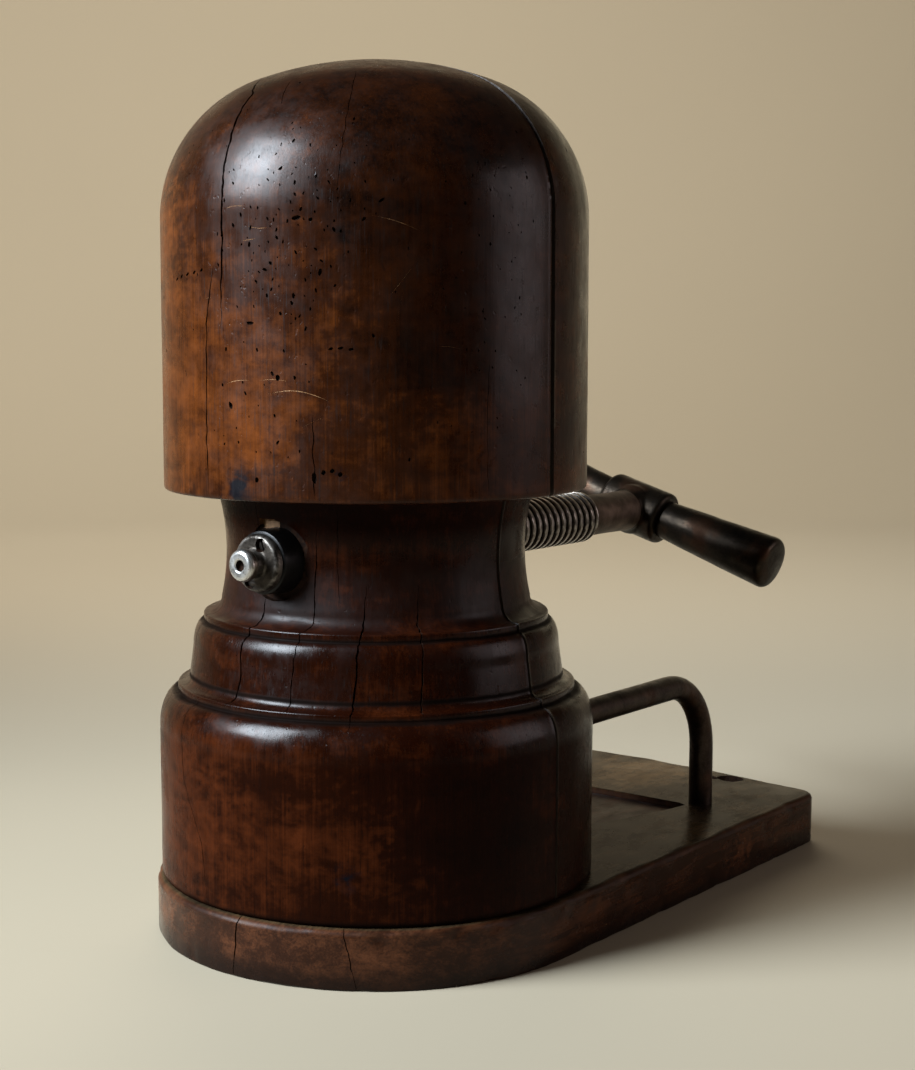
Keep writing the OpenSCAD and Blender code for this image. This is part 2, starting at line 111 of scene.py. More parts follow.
HANDLE_Y = 212.5
HANDLE_TILT = math.radians(17)
SHANK_REAR = HANDLE_Y - 14
TENON_REAR = HANDLE_Y - 6
TENON_R = 7
ARM_REACH = 80.5
ARM_ROOT_R = 9.6
ARM_END_R = 12.9
ARM_TENON_R = 5.5
ARM_TENON = 9.9
SOCKET_R = 13.2
SOCKET_HALF = 16.8

STAY_R = 5.7
STAY_X = 58
STAY_Z = 84.3
STAY_LEG_Y = 176
STAY_BEND_R = 32
STAY_FRONT = -30
STAY_BOTTOM = 1.6

THRUST_PLATE = (28.1, 9.6, 18.1)  # pockets: half width, depth, half height
NUT_PLATE = (32.1, 10.1, 20.1)
KEY_SLOT = ((-25.1, 11.9, 10), (25.1, 82.1, 31.1))
THREAD_BORE_R = THREAD_R + 1.3
STAY_NUT_POCKET_R = 13
BASE_SCREW_R = 3.05
BASE_SCREW_HEAD_R = 6.3

DOWEL_R = 6
DOWEL_X = 42
DOWEL_Y = 30
DOWEL_BOTTOM = 160
DOWEL_TOP = 212


# ---- outlines ----

def arc(centre_r, centre_z, r, start, end, steps):
    """Points of an arc in the plane of a turned outline; angles in degrees."""
    angles = [math.radians(start + (end - start) * i / steps) for i in range(steps + 1)]
    return [(centre_r + r * math.cos(a), centre_z + r * math.sin(a)) for a in angles]


def ovolo(lower, upper, steps):
    """Convex quarter-ellipse from its lower outer end to its upper inner end."""
    angles = [math.pi / 2 * i / steps for i in range(steps + 1)]
    return [(upper[0] + (lower[0] - upper[0]) * math.cos(a),
             lower[1] + (upper[1] - lower[1]) * math.sin(a)) for a in angles]


def cove(lower, upper, steps):
    """Concave quarter-ellipse from its lower outer end to its upper inner end."""
    angles = [math.pi / 2 * i / steps for i in range(steps + 1)]
    return [(lower[0] - (lower[0] - upper[0]) * math.sin(a),
             upper[1] - (upper[1] - lower[1]) * math.cos(a)) for a in angles]


def densify(outline, step):
    """Adds points so that no two neighbours are further apart than step."""
    points = [outline[0]]
    for a, b in zip(outline, outline[1:]):
        count = max(1, math.ceil(math.dist(a, b) / step))
        points += [(a[0] + (b[0] - a[0]) * i / count, a[1] + (b[1] - a[1]) * i / count)
                   for i in range(1, count + 1)]
    return points


def head_outline():
    crown_z = HEAD_SIDE_TOP - math.sqrt((HEAD_CROWN_R - HEAD_SHOULDER_R) ** 2
                                        - (HEAD_R - HEAD_SHOULDER_R) ** 2)
    join = math.degrees(math.atan2(HEAD_SIDE_TOP - crown_z, HEAD_R - HEAD_SHOULDER_R))
    rim = arc(HEAD_R - 1.6, HEAD_BOTTOM + 1.6, 1.6, -90, 0, 4)
    shoulder = arc(HEAD_R - HEAD_SHOULDER_R, HEAD_SIDE_TOP, HEAD_SHOULDER_R, 0, join, 60)
    crown = arc(0, crown_z, HEAD_CROWN_R - 0.05, join + 0.5, 90, 60)
    crown[-1] = (0, crown[-1][1])
    return [(0, HEAD_BOTTOM)] + rim + shoulder + crown


def pedestal_outline(bottom):
    foot_z = NECK_FILLET[1] + NECK_COVE_R
    foot_angle = math.degrees(math.asin((SCREW_Z - foot_z) / NECK_SWEEP_R))
    top_angle = math.degrees(math.asin((HEAD_BOTTOM - SCREW_Z) / NECK_SWEEP_R))
    foot_r = NECK_R + NECK_SWEEP_R * (1 - math.cos(math.radians(foot_angle)))
    drum = arc(DRUM_R - 2, bottom + 2, 2, -90, 0, 4)
    drum += ovolo((DRUM_R, DRUM_SIDE_TOP), (DRUM_FILLET_R + 0.5, DRUM_FILLET[0] - 0.2), 20)
    fillet = [(DRUM_FILLET_R, DRUM_FILLET[0] + 0.3)]
    fillet += arc(DRUM_FILLET_R - 0.7, DRUM_FILLET[1] - 0.7, 0.7, 0, 90, 4)
    band = cove((DRUM_FILLET_R - 1.2, DRUM_FILLET[1]), BAND_BOTTOM, 9)
    band += ovolo(BAND_TOP, (NECK_FILLET_R + 0.4, NECK_FILLET[0] - 0.2), 14)
    upper = [(NECK_FILLET_R, NECK_FILLET[0] + 0.3)]
    upper += arc(NECK_FILLET_R - 0.8, NECK_FILLET[1] - 0.8, 0.8, 0, 90, 4)
    neck = cove((foot_r + NECK_COVE_R, NECK_FILLET[1]), (foot_r, foot_z), 12)
    neck += arc(NECK_R + NECK_SWEEP_R, SCREW_Z, NECK_SWEEP_R,
                180 + foot_angle - 1, 180 - top_angle, 16)
    return [(0, bottom)] + drum + fillet + band + upper + neck + [(0, HEAD_BOTTOM)]


def outward(azimuth):
    """Level unit vector at an azimuth in degrees."""
    a = math.radians(azimuth)
    return Vector((math.cos(a), math.sin(a), 0))


def on_head(azimuth, z):
    """Point and outward normal on the head's surface."""
    lift = 0
    if z > HEAD_SIDE_TOP:
        lift = math.asin(min(1, (z - HEAD_SIDE_TOP) / HEAD_SHOULDER_R))
    r = HEAD_R - HEAD_SHOULDER_R + HEAD_SHOULDER_R * math.cos(lift)
    out = outward(azimuth)
    return out * r + UP * z, out * math.cos(lift) + UP * math.sin(lift)


# ---- mesh helpers ----

def skin(bm, rings, capped=True):
    """Joins rings of vertices by faces; a ring of one vertex is a tip. capped closes both ends."""
    for low, high in zip(rings, rings[1:]):
        count = max(len(low), len(high))
        for i in range(count):
            j = (i + 1) % count
            ring = low[i % len(low)], low[j % len(low)], high[j % len(high)], high[i % len(high)]
            corners = list(dict.fromkeys(ring))
            if len(corners) > 2:
                bm.faces.new(corners)
    if capped:
        bm.faces.new(rings[0][::-1])
        bm.faces.new(rings[-1])
    bmesh.ops.recalc_face_normals(bm, faces=bm.faces)
    return bm


def skinned(sections, capped=True):
    """Mesh skinned over sections, each a list of points."""
    bm = bmesh.new()
    return skin(bm, [[bm.verts.new(point) for point in section] for section in sections], capped)


def lathe(outline, columns, closed=False):
    """Turns (radius, z) points about Z. A closed outline makes a ring, an open one ends on the axis."""
    bm = bmesh.new()
    turns = [2 * math.pi * i / columns for i in range(columns)]
    rings = []
    for r, z in outline:
        angles = turns if r > 1e-6 else [0]
        rings.append([bm.verts.new((r * math.cos(a), r * math.sin(a), z)) for a in angles])
    return skin(bm, rings + rings[:1] if closed else rings, capped=False)


def lay_along_y(bm, x=0, z=SCREW_Z):
    """Turns a mesh drawn about Z so that it lies along Y through (x, z)."""
    bm.transform(Matrix.Translation((x, 0, z)) @ Matrix.Rotation(-math.pi / 2, 4, "X"))
    return bm


def tube_y(start, end, r, x=0, z=SCREW_Z, columns=72):
    return lay_along_y(lathe([(0, start), (r, start), (r, end), (0, end)], columns), x, z)


def post(bottom, top, r, x, y, columns=48):
    bm = lathe([(0, bottom), (r, bottom), (r, top), (0, top)], columns)
    bm.transform(Matrix.Translation((x, y, 0)))
    return bm


def block(low, high):
    bm = bmesh.new()
    size = [b - a for a, b in zip(low, high)]
    centre = [(a + b) / 2 for a, b in zip(low, high)]
    bmesh.ops.create_cube(bm, size=1, matrix=Matrix.Translation(centre) @ Matrix.Diagonal((*size, 1)))
    return bm


def to_object(bm, name, index=0):
    """Makes an object of a mesh whose faces all have one material index."""
    if index:
        for face in bm.faces:
            face.material_index = index
    mesh = bpy.data.meshes.new(name)
    bm.to_mesh(mesh)
    bm.free()
    obj = bpy.data.objects.new(name, mesh)
    bpy.context.scene.collection.objects.link(obj)
    return obj


def cutter(bm, index=BARE_INDEX):
    """Object to cut with; its faces' material index goes to the cut faces."""
    bmesh.ops.recalc_face_normals(bm, faces=bm.faces)
    return to_object(bm, "cutter", index)


def add_modifier(obj, kind, **settings):
    modifier = obj.modifiers.new(kind.lower(), kind)
    for key, value in settings.items():
        setattr(modifier, key, value)


def apply_modifiers(obj):
    graph = bpy.context.evaluated_depsgraph_get()
    mesh = bpy.data.meshes.new_from_object(obj.evaluated_get(graph))
    obj.modifiers.clear()
    obj.data = mesh


def cut_away(obj, cutters):
    """Cuts the cutters' shapes out of obj; cut faces keep their cutter's material index."""
    group = bpy.data.collections.new("cutters")
    bpy.context.scene.collection.children.link(group)
    for cutter in cutters:
        bpy.context.scene.collection.objects.unlink(cutter)
        group.objects.link(cutter)
    add_modifier(obj, "BOOLEAN", operation="DIFFERENCE", solver="EXACT",
                 operand_type="COLLECTION", collection=group)
    apply_modifiers(obj)
    for cutter in cutters:
        bpy.data.objects.remove(cutter)
    bpy.data.collections.remove(group)


def smooth(obj, angle):
    """Smooth shading, with edges sharper than the angle kept crisp."""
    bm = bmesh.new()
    bm.from_mesh(obj.data)
    for face in bm.faces:
        face.smooth = True
    limit = math.radians(angle)
    for edge in bm.edges:
        edge.smooth = len(edge.link_faces) == 2 and edge.calc_face_angle(0) < limit
    bm.to_mesh(obj.data)
    bm.free()


def finish_piece(obj, node, body, materials, angle=32):
    """Smooths a drawn piece, scales it to metres, gives it its materials, joins it to its body and hides
    the CAD node it replaces.
    """
    smooth(obj, angle)
    obj.data.transform(TO_METRES)
    indices = [face.material_index for face in obj.data.polygons]
    obj.data.materials.clear()
    for material in materials:
        obj.data.materials.append(material)
    for face, index in zip(obj.data.polygons, indices):
        face.material_index = min(index, len(materials) - 1)
    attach(obj, body)
    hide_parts(node)


# ---- shader helpers ----

class Shader:
    """A procedural material, built node by node. Scales are features per metre along each axis."""

    def __init__(self, name):
        self.material = bpy.data.materials.new(name)
        self.material.use_nodes = True
        self.tree = self.material.node_tree
        self.surface = self.tree.nodes["Principled BSDF"]
        self.place = self.node("TexCoord").outputs["Object"]

    def node(self, kind, inputs=None, **settings):
        """Adds a node with its settings; inputs are values or sockets to link, by name or number."""
        node = self.tree.nodes.new("ShaderNode" + kind)
        for key, value in settings.items():
            setattr(node, key, value)
        for key, value in (inputs or {}).items():
            self.put(node.inputs[key], value)
        return node

    def put(self, socket, value):
        if isinstance(value, bpy.types.NodeSocket):
            self.tree.links.new(value, socket)
        else:
            socket.default_value = value

    def noise(self, scale, detail=4.0, rough=0.55, distortion=0.0, output="Fac"):
        where = self.node("Mapping", {"Vector": self.place, "Scale": scale})
        return self.node("TexNoise", {"Vector": where.outputs["Vector"], "Scale": 1.0,
                                      "Detail": detail, "Roughness": rough,
                                      "Distortion": distortion}).outputs[output]

    def range(self, value, low, high, to_low=0.0, to_high=1.0):
        return self.node("MapRange", {"Value": value, "From Min": low, "From Max": high,
                                      "To Min": to_low, "To Max": to_high},
                         interpolation_type="SMOOTHSTEP").outputs["Result"]

    def math(self, operation, a, b=0.0):
        return self.node("Math", {0: a, 1: b}, operation=operation).outputs[0]

    def add(self, a, b):
        return self.math("ADD", a, b)

    def times(self, a, b):
        """Product; two plain numbers give a plain number, so that a constant needs no node."""
        linked = any(isinstance(value, bpy.types.NodeSocket) for value in (a, b))
        return self.math("MULTIPLY", a, b) if linked else a * b

    def about_zero(self, value, amount):
        """A noise shifted to lie about zero, times an amount."""
        return self.times(self.math("SUBTRACT", value, 0.5), amount)

    def mix(self, factor, a, b):
        node = self.node("Mix", {"Factor": factor}, data_type="RGBA")
        for key, value in (("A", a), ("B", b)):
            socket = [s for s in node.inputs if s.name == key and s.type == "RGBA"][0]
            self.put(socket, value if isinstance(value, bpy.types.NodeSocket) else (*value, 1))
        return [s for s in node.outputs if s.type == "RGBA"][0]

    def ramp(self, value, *stops):
        node = self.node("ValToRGB", {"Fac": value})
        elements = node.color_ramp.elements
        while len(elements) < len(stops):
            elements.new(0.5)
        for element, (position, colour) in zip(elements, stops):
            element.position = position
            element.color = (*colour, 1)
        return node.outputs["Color"]

    def axis(self, name):
        return self.node("SeparateXYZ", {"Vector": self.place}).outputs[name]

    def from_screw_axis(self):
        """Distance from the screw's axis, in metres."""
        x = self.axis("X")
        z = self.math("SUBTRACT", self.axis("Z"), SCREW_Z / 1000)
        return self.math("SQRT", self.add(self.times(x, x), self.times(z, z)))

    def patches(self, places, ragged=0.05):
        """Sum of soft patches with ragged edges; places are (centre in mm, radius in mm, amount)."""
        edge = self.noise((225, 225, 300), 5, 0.5, output="Color")
        moved = self.node("VectorMath", {0: edge, 1: (ragged,) * 3, 2: self.place},
                          operation="MULTIPLY_ADD").outputs["Vector"]
        total = 0.0
        for centre, radius, amount in places:
            middle = Vector(centre) / 1000 + Vector((ragged,) * 3) / 2
            away = self.node("VectorMath", {0: moved, 1: middle}, operation="DISTANCE")
            near = self.range(away.outputs["Value"], radius * 0.00015, radius / 1000, amount, 0)
            total = self.add(total, near)
        return total

    def rings_of_shade_and_dirt(self, heights):
        """Dark bands round a turned piece, painted shade in its creases and at its foot; heights are
        (height in mm, half width in mm).
        """
        z = self.add(self.axis("Z"), self.times(self.noise((70, 70, 70), 3), 0.0012))
        total = 0.0
        for height, half in heights:
            away = self.math("ABSOLUTE", self.math("SUBTRACT", z, (height + 0.6) / 1000))
            total = self.math("MAXIMUM", total, self.range(away, 0.0002, half / 1000, 1, 0))
        return total

    def bump(self, height, strength, distance, below=None):
        inputs = {"Height": height, "Strength": strength, "Distance": distance}
        if below is not None:
            inputs["Normal"] = below
        return self.node("Bump", inputs).outputs["Normal"]

    def done(self, **inputs):
        for key, value in inputs.items():
            self.put(self.surface.inputs[key.replace("_", " ")], value)
        return self.material


def polished_wood(name, colours, gloss, patches=(), stains=(), shade_and_dirt=(), figure=1.0, shine=(),
                  bloom=()):
    """Old polished wood with upright grain: fibres, mottling, smoky patches, pores and dents.

    patches and stains are (centre, radius, amount), and some patches are painted light and shade;
    the dark bands, each (height, half width), are painted shade in creases, with the polish dulled
    there as by old wax; gloss is (roughness, coat, IOR); shine is (low, high) in mm, beyond which
    the polish is worn dull; bloom is (low, high) in mm of a hazy band.
    """
    dark, mid, light = colours
    rough, coat, ior = gloss
    s = Shader(name)
    fine = s.noise((1100, 1100, 22), 5, 0.65, 0.2)
    tone = s.about_zero(fine, 0.42)
    layers = (((260, 260, 7), 4, 0.21), ((42, 42, 5), 3, 0.25), ((26, 26, 46), 6, 0.66),
              ((120, 120, 150), 6, 0.45), ((9, 9, 15), 3, 0.45), ((16, 16, 85), 4, 0.32))
    for scale, detail, amount in layers:
        tone = s.add(tone, s.about_zero(s.noise(scale, detail, 0.62, 0.7), amount))
    # Listed patches: the wood's own tone, and in places painted light and shade.
    tone = s.add(s.times(tone, figure), s.patches(patches))
    colour = s.ramp(s.add(tone, 0.5), (0.1, dark), (0.5, mid), (0.95, light))
    pores = s.range(s.noise((1900, 1900, 75), 2, 0.5), 0.60, 0.72)
    flecks = s.range(s.noise((380, 380, 240), 3, 0.7), 0.62, 0.74)
    for spots in (pores, flecks):
        colour = s.mix(s.times(spots, 0.5), colour, dark)
    # Painted shade: dark bands at the creases and at the foot, where the polish is also dulled.
    shade_and_dirt_bands = s.rings_of_shade_and_dirt(shade_and_dirt)
    colour = s.mix(s.times(shade_and_dirt_bands, 0.85), colour, (0.003, 0.002, 0.0015))
    colour = s.mix(s.patches(stains, 0.014), colour, (0.0035, 0.0032, 0.005))
    scuff = s.noise((90, 90, 60), 6, 0.7)
    dull = s.add(s.range(scuff, 0.35, 0.7, rough - 0.06, rough + 0.12), s.times(pores, 0.2))
    dull = s.add(dull, s.times(shade_and_dirt_bands, 0.3))
    grain = s.bump(fine, 0.14, 0.0003)
    dents = s.bump(s.noise((48, 48, 34), 2, 0.5), 0.16, 0.0022, grain)
    nicks = s.bump(s.range(s.noise((360, 360, 260), 2), 0.66, 0.74, 1, 0), 0.25, 0.0003, dents)
    z = s.axis("Z")
    if bloom:
        low, high = (height / 1000 for height in bloom)
        hazy = s.math("MINIMUM", s.range(z, low - 0.002, low), s.range(z, high, high + 0.01, 1, 0))
        dull = s.add(dull, s.times(hazy, 0.2))
    polish = 1.0
    if shine:
        low, high = (height / 1000 for height in shine)
        polish = s.math("MINIMUM", s.range(z, low - 0.008, low, 0.2, 1),
                        s.range(z, high, high + 0.012, 1, 0.15))
    if shade_and_dirt:
        polish = s.times(polish, s.math("SUBTRACT", 1, s.times(shade_and_dirt_bands, 0.85)))
    return s.done(Base_Color=colour, Roughness=dull, Normal=nicks, IOR=ior,
                  Specular_IOR_Level=s.times(polish, 0.5), Coat_Weight=s.times(polish, coat),
                  Coat_Roughness=0.12, Coat_IOR=1.5)


def bare_wood(name, dark, light):
    """Unpolished inner faces: sawn fibres, no gloss."""
    s = Shader(name)
    fibre = s.noise((420, 420, 12), 5, 0.65)
    tone = s.add(s.times(fibre, 0.7), s.times(s.noise((22, 22, 14)), 0.3))
    return s.done(Base_Color=s.ramp(tone, (0.3, dark), (0.7, light)),
                  Roughness=s.range(fibre, 0.3, 0.7, 0.55, 0.8), Normal=s.bump(fibre, 0.35, 0.0006))


def crevice():
    """Dark fill of cracks, pits and holes: partly old wax and soiling, partly painted shade of their
    depths, as in the flange's screw sinks.
    """
    s = Shader("crevice")
    shade_and_dirt = s.noise((700, 700, 700), 3)
    colour = s.ramp(shade_and_dirt, (0.3, (0.004, 0.002, 0.0015)), (0.7, (0.03, 0.014, 0.008)))
    return s.done(Base_Color=colour, Roughness=s.range(shade_and_dirt, 0.3, 0.7, 0.6, 0.9), IOR=1.15)


def scratch():
    """Pale wood bared by a scratch."""
    s = Shader("scratch")
    fibre = s.noise((900, 900, 90), 3)
    colour = s.ramp(fibre, (0.35, (0.16, 0.075, 0.03)), (0.65, (0.42, 0.24, 0.11)))
    return s.done(Base_Color=colour, Roughness=s.range(fibre, 0.3, 0.7, 0.4, 0.6))


def patina_iron(name, dark, light, rough, metal=0.85, grain=1.0):
    """Handled iron with a brown skin: mottled, hammered a little, brighter where it is rubbed."""
    s = Shader(name)
    mottle = s.noise((130, 130, 130), 6, 0.65, 0.5)
    speck = s.noise((900, 900, 900), 4, 0.7)
    tone = s.add(s.times(mottle, 0.7), s.times(speck, 0.3))
    rust = s.range(s.noise((60, 60, 60), 5), 0.5, 0.68)
    colour = s.ramp(tone, (0.35, dark), (0.66, light))
    colour = s.mix(s.times(rust, 0.45), colour, (0.085, 0.035, 0.016))
    gloss = s.add(s.range(tone, 0.35, 0.65, rough + 0.14, rough - 0.06), s.times(rust, 0.12))
    skin_bump = s.bump(speck, 0.16 * grain, 0.0003)
    hammer = s.bump(s.noise((75, 75, 75), 2), 0.30 * grain, 0.0012, skin_bump)
    return s.done(Base_Color=colour, Metallic=metal, Roughness=gloss, Normal=hammer)


def bearing_iron():
    """Dark iron of the bearing's flange, worn lighter round its rim and hub."""
    s = Shader("bearing_iron")
    radius = s.from_screw_axis()
    mottle = s.noise((170, 170, 170), 6, 0.68, 0.5)
    speck = s.noise((800, 800, 800), 4, 0.7)
    rim = s.range(radius, (FLANGE_R - 2.4) / 1000, (FLANGE_R - 0.6) / 1000)
    hub = s.range(radius, FLANGE_HUB_R / 1000, (FLANGE_HUB_R + 1.0) / 1000, 0.7, 0)
    worn = s.times(s.math("MAXIMUM", rim, hub), s.range(mottle, 0.38, 0.6))
    dark = s.ramp(mottle, (0.35, (0.010, 0.0075, 0.0055)), (0.65, (0.055, 0.045, 0.036)))
    return s.done(Base_Color=s.mix(worn, dark, (0.15, 0.135, 0.12)), Metallic=0.85,
                  Roughness=s.range(speck, 0.3, 0.7, 0.32, 0.5),
                  Normal=s.bump(speck, 0.2, 0.0003, s.bump(mottle, 0.3, 0.001)))


def thread_steel():
    """The screw: black oil in the grooves, bright steel where the crests are rubbed."""
    s = Shader("thread_steel")
    crest = s.range(s.from_screw_axis(), (THREAD_R - 1.1) / 1000, (THREAD_R - 0.15) / 1000)
    behind = s.range(s.axis("Y"), (THREAD_REAR - 1) / 1000, (THREAD_REAR + 2) / 1000)
    speck = s.noise((700, 700, 700), 5, 0.7)
    mottle = s.noise((120, 120, 120), 5, 0.6)
    bright = s.ramp(speck, (0.3, (0.20, 0.17, 0.145)), (0.7, (0.52, 0.48, 0.44)))
    oil = s.ramp(mottle, (0.3, (0.006, 0.005, 0.004)), (0.7, (0.03, 0.022, 0.016)))
    brown = s.ramp(mottle, (0.32, (0.05, 0.034, 0.024)), (0.68, (0.16, 0.115, 0.085)))
    colour = s.mix(behind, s.mix(s.times(crest, 0.9), oil, bright), brown)
    gloss = s.add(s.range(crest, 0, 1, 0.5, 0.26), s.times(speck, 0.12))
    return s.done(Base_Color=colour, Metallic=0.9, Roughness=gloss,
                  Normal=s.bump(speck, 0.18, 0.0003))


def bright_steel():
    """The end knob: turned bright face, pitted, browner towards its back."""
    s = Shader("bright_steel")
    turned = s.noise((160, 1500, 160), 5, 0.6)
    speck = s.noise((1100, 1100, 1100), 5, 0.7)
    rusty = s.range(speck, 0.55, 0.68)
    colour = s.ramp(turned, (0.3, (0.36, 0.35, 0.33)), (0.7, (0.72, 0.71, 0.69)))
    colour = s.mix(s.times(rusty, 0.75), colour, (0.10, 0.07, 0.05))
    back = s.range(s.axis("Y"), (KNOB_FRONT + 0.7) / 1000, (KNOB_FRONT + 2.6) / 1000, 0, 0.85)
    gloss = s.add(s.range(turned, 0.3, 0.7, 0.24, 0.38), s.times(rusty, 0.25))
    return s.done(Base_Color=s.mix(back, colour, (0.11, 0.08, 0.05)), Metallic=0.9,
                  Roughness=gloss, Normal=s.bump(speck, 0.08, 0.0002))


def board_wood():
    """Board: dull worn top, redder sides with painted shade towards the bottom, lighter rubbed arrises,
    and painted shade and debris on the recess floor.
    """
    s = Shader("board_wood")
    fine = s.noise((1200, 26, 1200), 4, 0.65)
    tone = s.about_zero(fine, 0.4)
    for scale, detail, amount in (((220, 6, 220), 5, 0.4), ((24, 16, 50), 6, 0.8),
                                  ((90, 70, 120), 5, 0.5)):
        tone = s.add(tone, s.about_zero(s.noise(scale, detail, 0.65, 0.7), amount))
    tone = s.add(s.add(tone, s.patches(BOARD_TONE_AND_PAINTED_SHADE)), 0.5)
    side = s.ramp(tone, (0.12, (0.004, 0.0016, 0.001)), (0.5, (0.026, 0.0085, 0.0038)),
                  (0.9, (0.13, 0.045, 0.018)))
    top = s.ramp(tone, (0.1, (0.006, 0.004, 0.0025)), (0.5, (0.025, 0.0165, 0.009)),
                 (0.9, (0.105, 0.062, 0.028)))
    z = s.axis("Z")
    # Painted shade: the sides darken towards the bottom.
    side = s.mix(s.range(z, 0.001, 0.014, 0.75, 0), side, (0.004, 0.0018, 0.0012))
    colour = s.mix(s.range(z, 0.0232, 0.0239), side, top)
    arris = s.times(s.range(z, 0.0208, 0.0222), s.range(z, 0.0236, 0.02398, 1, 0))
    rubbed = s.range(s.noise((60, 40, 60), 4, 0.7), 0.42, 0.66)
    colour = s.mix(s.times(s.times(arris, rubbed), 0.5), colour, (0.095, 0.042, 0.02))
    # Painted shade with debris: the recess floor is darker and duller.
    rear = s.times(s.range(z, 0.0209, 0.0212, 1, 0), s.range(s.axis("Y"), 0.08, 0.1))
    recess_shade_and_debris = s.times(rear, s.range(s.math("ABSOLUTE", s.axis("X")), 0.052, 0.056, 1, 0))
    colour = s.mix(s.times(recess_shade_and_debris, 0.6), colour, (0.008, 0.006, 0.004))
    scuff = s.noise((70, 45, 70), 6, 0.72)
    gloss = s.add(s.range(scuff, 0.3, 0.7, 0.13, 0.34), s.times(arris, 0.25))
    gloss = s.add(gloss, s.times(recess_shade_and_debris, 0.2))
    grain = s.bump(fine, 0.14, 0.0005)
    wavy = s.bump(s.noise((30, 18, 40), 2), 0.14, 0.002, grain)
    pitted = s.bump(s.range(scuff, 0.60, 0.74, 1, 0), 0.3, 0.0004, wavy)
    return s.done(Base_Color=colour, Roughness=gloss, Normal=pitted,
                  IOR=s.range(z, 0.0222, 0.0238, 1.24, 1.09))


def stage_paint():
    """Warm pale paint, a little uneven."""
    s = Shader("studio_paint")
    colour = Vector((0.37, 0.315, 0.225))
    cloud = s.noise((0.9, 0.9, 0.9), 3)
    return s.done(Base_Color=s.ramp(cloud, (0.3, colour * 0.96), (0.7, colour)), Roughness=0.85)


def around(azimuth, height, radius, amount):
    """A patch on the turned wood, by its direction in degrees and its height."""
    return on_head(azimuth, height)[0], radius, amount


# The wood's own uneven tone, with painted light and shade: the lighter patches on the left, towards the
# window lamp, and the dark ones over the crown are partly painted.
HEAD_TONE_AND_PAINTED_LIGHT = [
    around(-125, 285, 36, 0.22), around(-120, 225, 75, 0.20), around(-82, 224, 34, 0.16),
    around(-72, 250, 32, 0.06), around(-52, 275, 30, -0.12), around(-95, 200, 36, 0.10),
    around(-64, 300, 22, -0.20), around(-40, 240, 40, -0.22), around(-78, 240, 18, -0.10),
    around(-30, 330, 62, -0.22), around(-80, 350, 58, -0.16), around(-110, 338, 44, -0.20),
    around(-62, 335, 40, -0.12), around(-20, 260, 62, -0.08), around(60, 250, 60, 0.12),
    around(120, 300, 50, -0.12)]
# The wood's own uneven tone, with painted light and shade: the lighter patches on the drum's window side
# and the dark patch on the neck under the head are partly painted.
PEDESTAL_TONE_AND_PAINTED_LIGHT = [
    around(-120, 60, 60, 0.20), around(-95, 50, 40, 0.10), around(-62, 60, 30, 0.12),
    around(-30, 60, 40, -0.15), around(-75, 160, 60, -0.12), around(60, 70, 50, 0.10)]
# The wood's own uneven tone and a dark knot, with painted shade: the dark patch at (60, 176, 24) round
# the right stay's foot.
BOARD_TONE_AND_PAINTED_SHADE = [
    ((0, 215, 24), 40, 0.25), ((46, 226, 24), 14, -0.5), ((92, 150, 5), 16, 0.3),
    ((-60, -72, 10), 40, 0.12), ((60, 176, 24), 16, -0.12), ((70, 225, 24), 30, -0.1)]
HEAD_WOOD = polished_wood(
    "head_wood", ((0.0035, 0.0009, 0.0003), (0.023, 0.0055, 0.0011), (0.122, 0.0318, 0.0058)),
    (0.31, 0.08, 1.25), HEAD_TONE_AND_PAINTED_LIGHT,
    stains=[around(-88, 187, 9, 1.0), around(-88, 192, 6, 0.8), around(-60, 198, 3, 0.6)])
PEDESTAL_WOOD = polished_wood(
    "pedestal_wood", ((0.0016, 0.0004, 0.0002), (0.0105, 0.0020, 0.0005), (0.075, 0.0165, 0.004)),
    (0.24, 0.05, 1.24), PEDESTAL_TONE_AND_PAINTED_LIGHT,
    stains=[around(-59, 41, 4, 0.9), around(-59, 43, 8, 0.5)],
    # Painted shade where the drum meets the board and in the creases of the mouldings, with the polish
    # dulled there.
    shade_and_dirt=[(24.4, 3.0), (101.9, 1.5), (108.2, 1.6), (130.8, 1.3)],
    figure=0.75, shine=(93, 163), bloom=(135, 152))
BLACK_WOOD = polished_wood(
    "black_wood", ((0.0012, 0.001, 0.001), (0.003, 0.0026, 0.0026), (0.010, 0.009, 0.009)),
    (0.36, 0.0, 1.25))
BOARD_WOOD = board_wood()
BARE_WOOD = bare_wood("bare_wood", (0.008, 0.004, 0.002), (0.032, 0.016, 0.008))
DOWEL_WOOD = bare_wood("dowel_wood", (0.2, 0.11, 0.05), (0.42, 0.27, 0.14))
CREVICE = crevice()
SCRATCH = scratch()
HANDLE_IRON = patina_iron("handle_iron", (0.0065, 0.0042, 0.0026), (0.036, 0.026, 0.017), 0.36)
STAY_IRON = patina_iron("stay_iron", (0.012, 0.008, 0.006), (0.065, 0.045, 0.034), 0.36)
GREY_IRON = patina_iron("grey_iron", (0.035, 0.033, 0.031), (0.17, 0.165, 0.155), 0.36, 0.9, 0.7)
SCREW_IRON = patina_iron("screw_iron", (0.010, 0.008, 0.006), (0.06, 0.05, 0.042), 0.38)
BEARING_IRON = bearing_iron()
THREAD_STEEL = thread_steel()
BRIGHT_STEEL = bright_steel()
CUT_MATERIALS = (CREVICE, SCRATCH, BARE_WOOD)


# ---- turned wooden halves ----

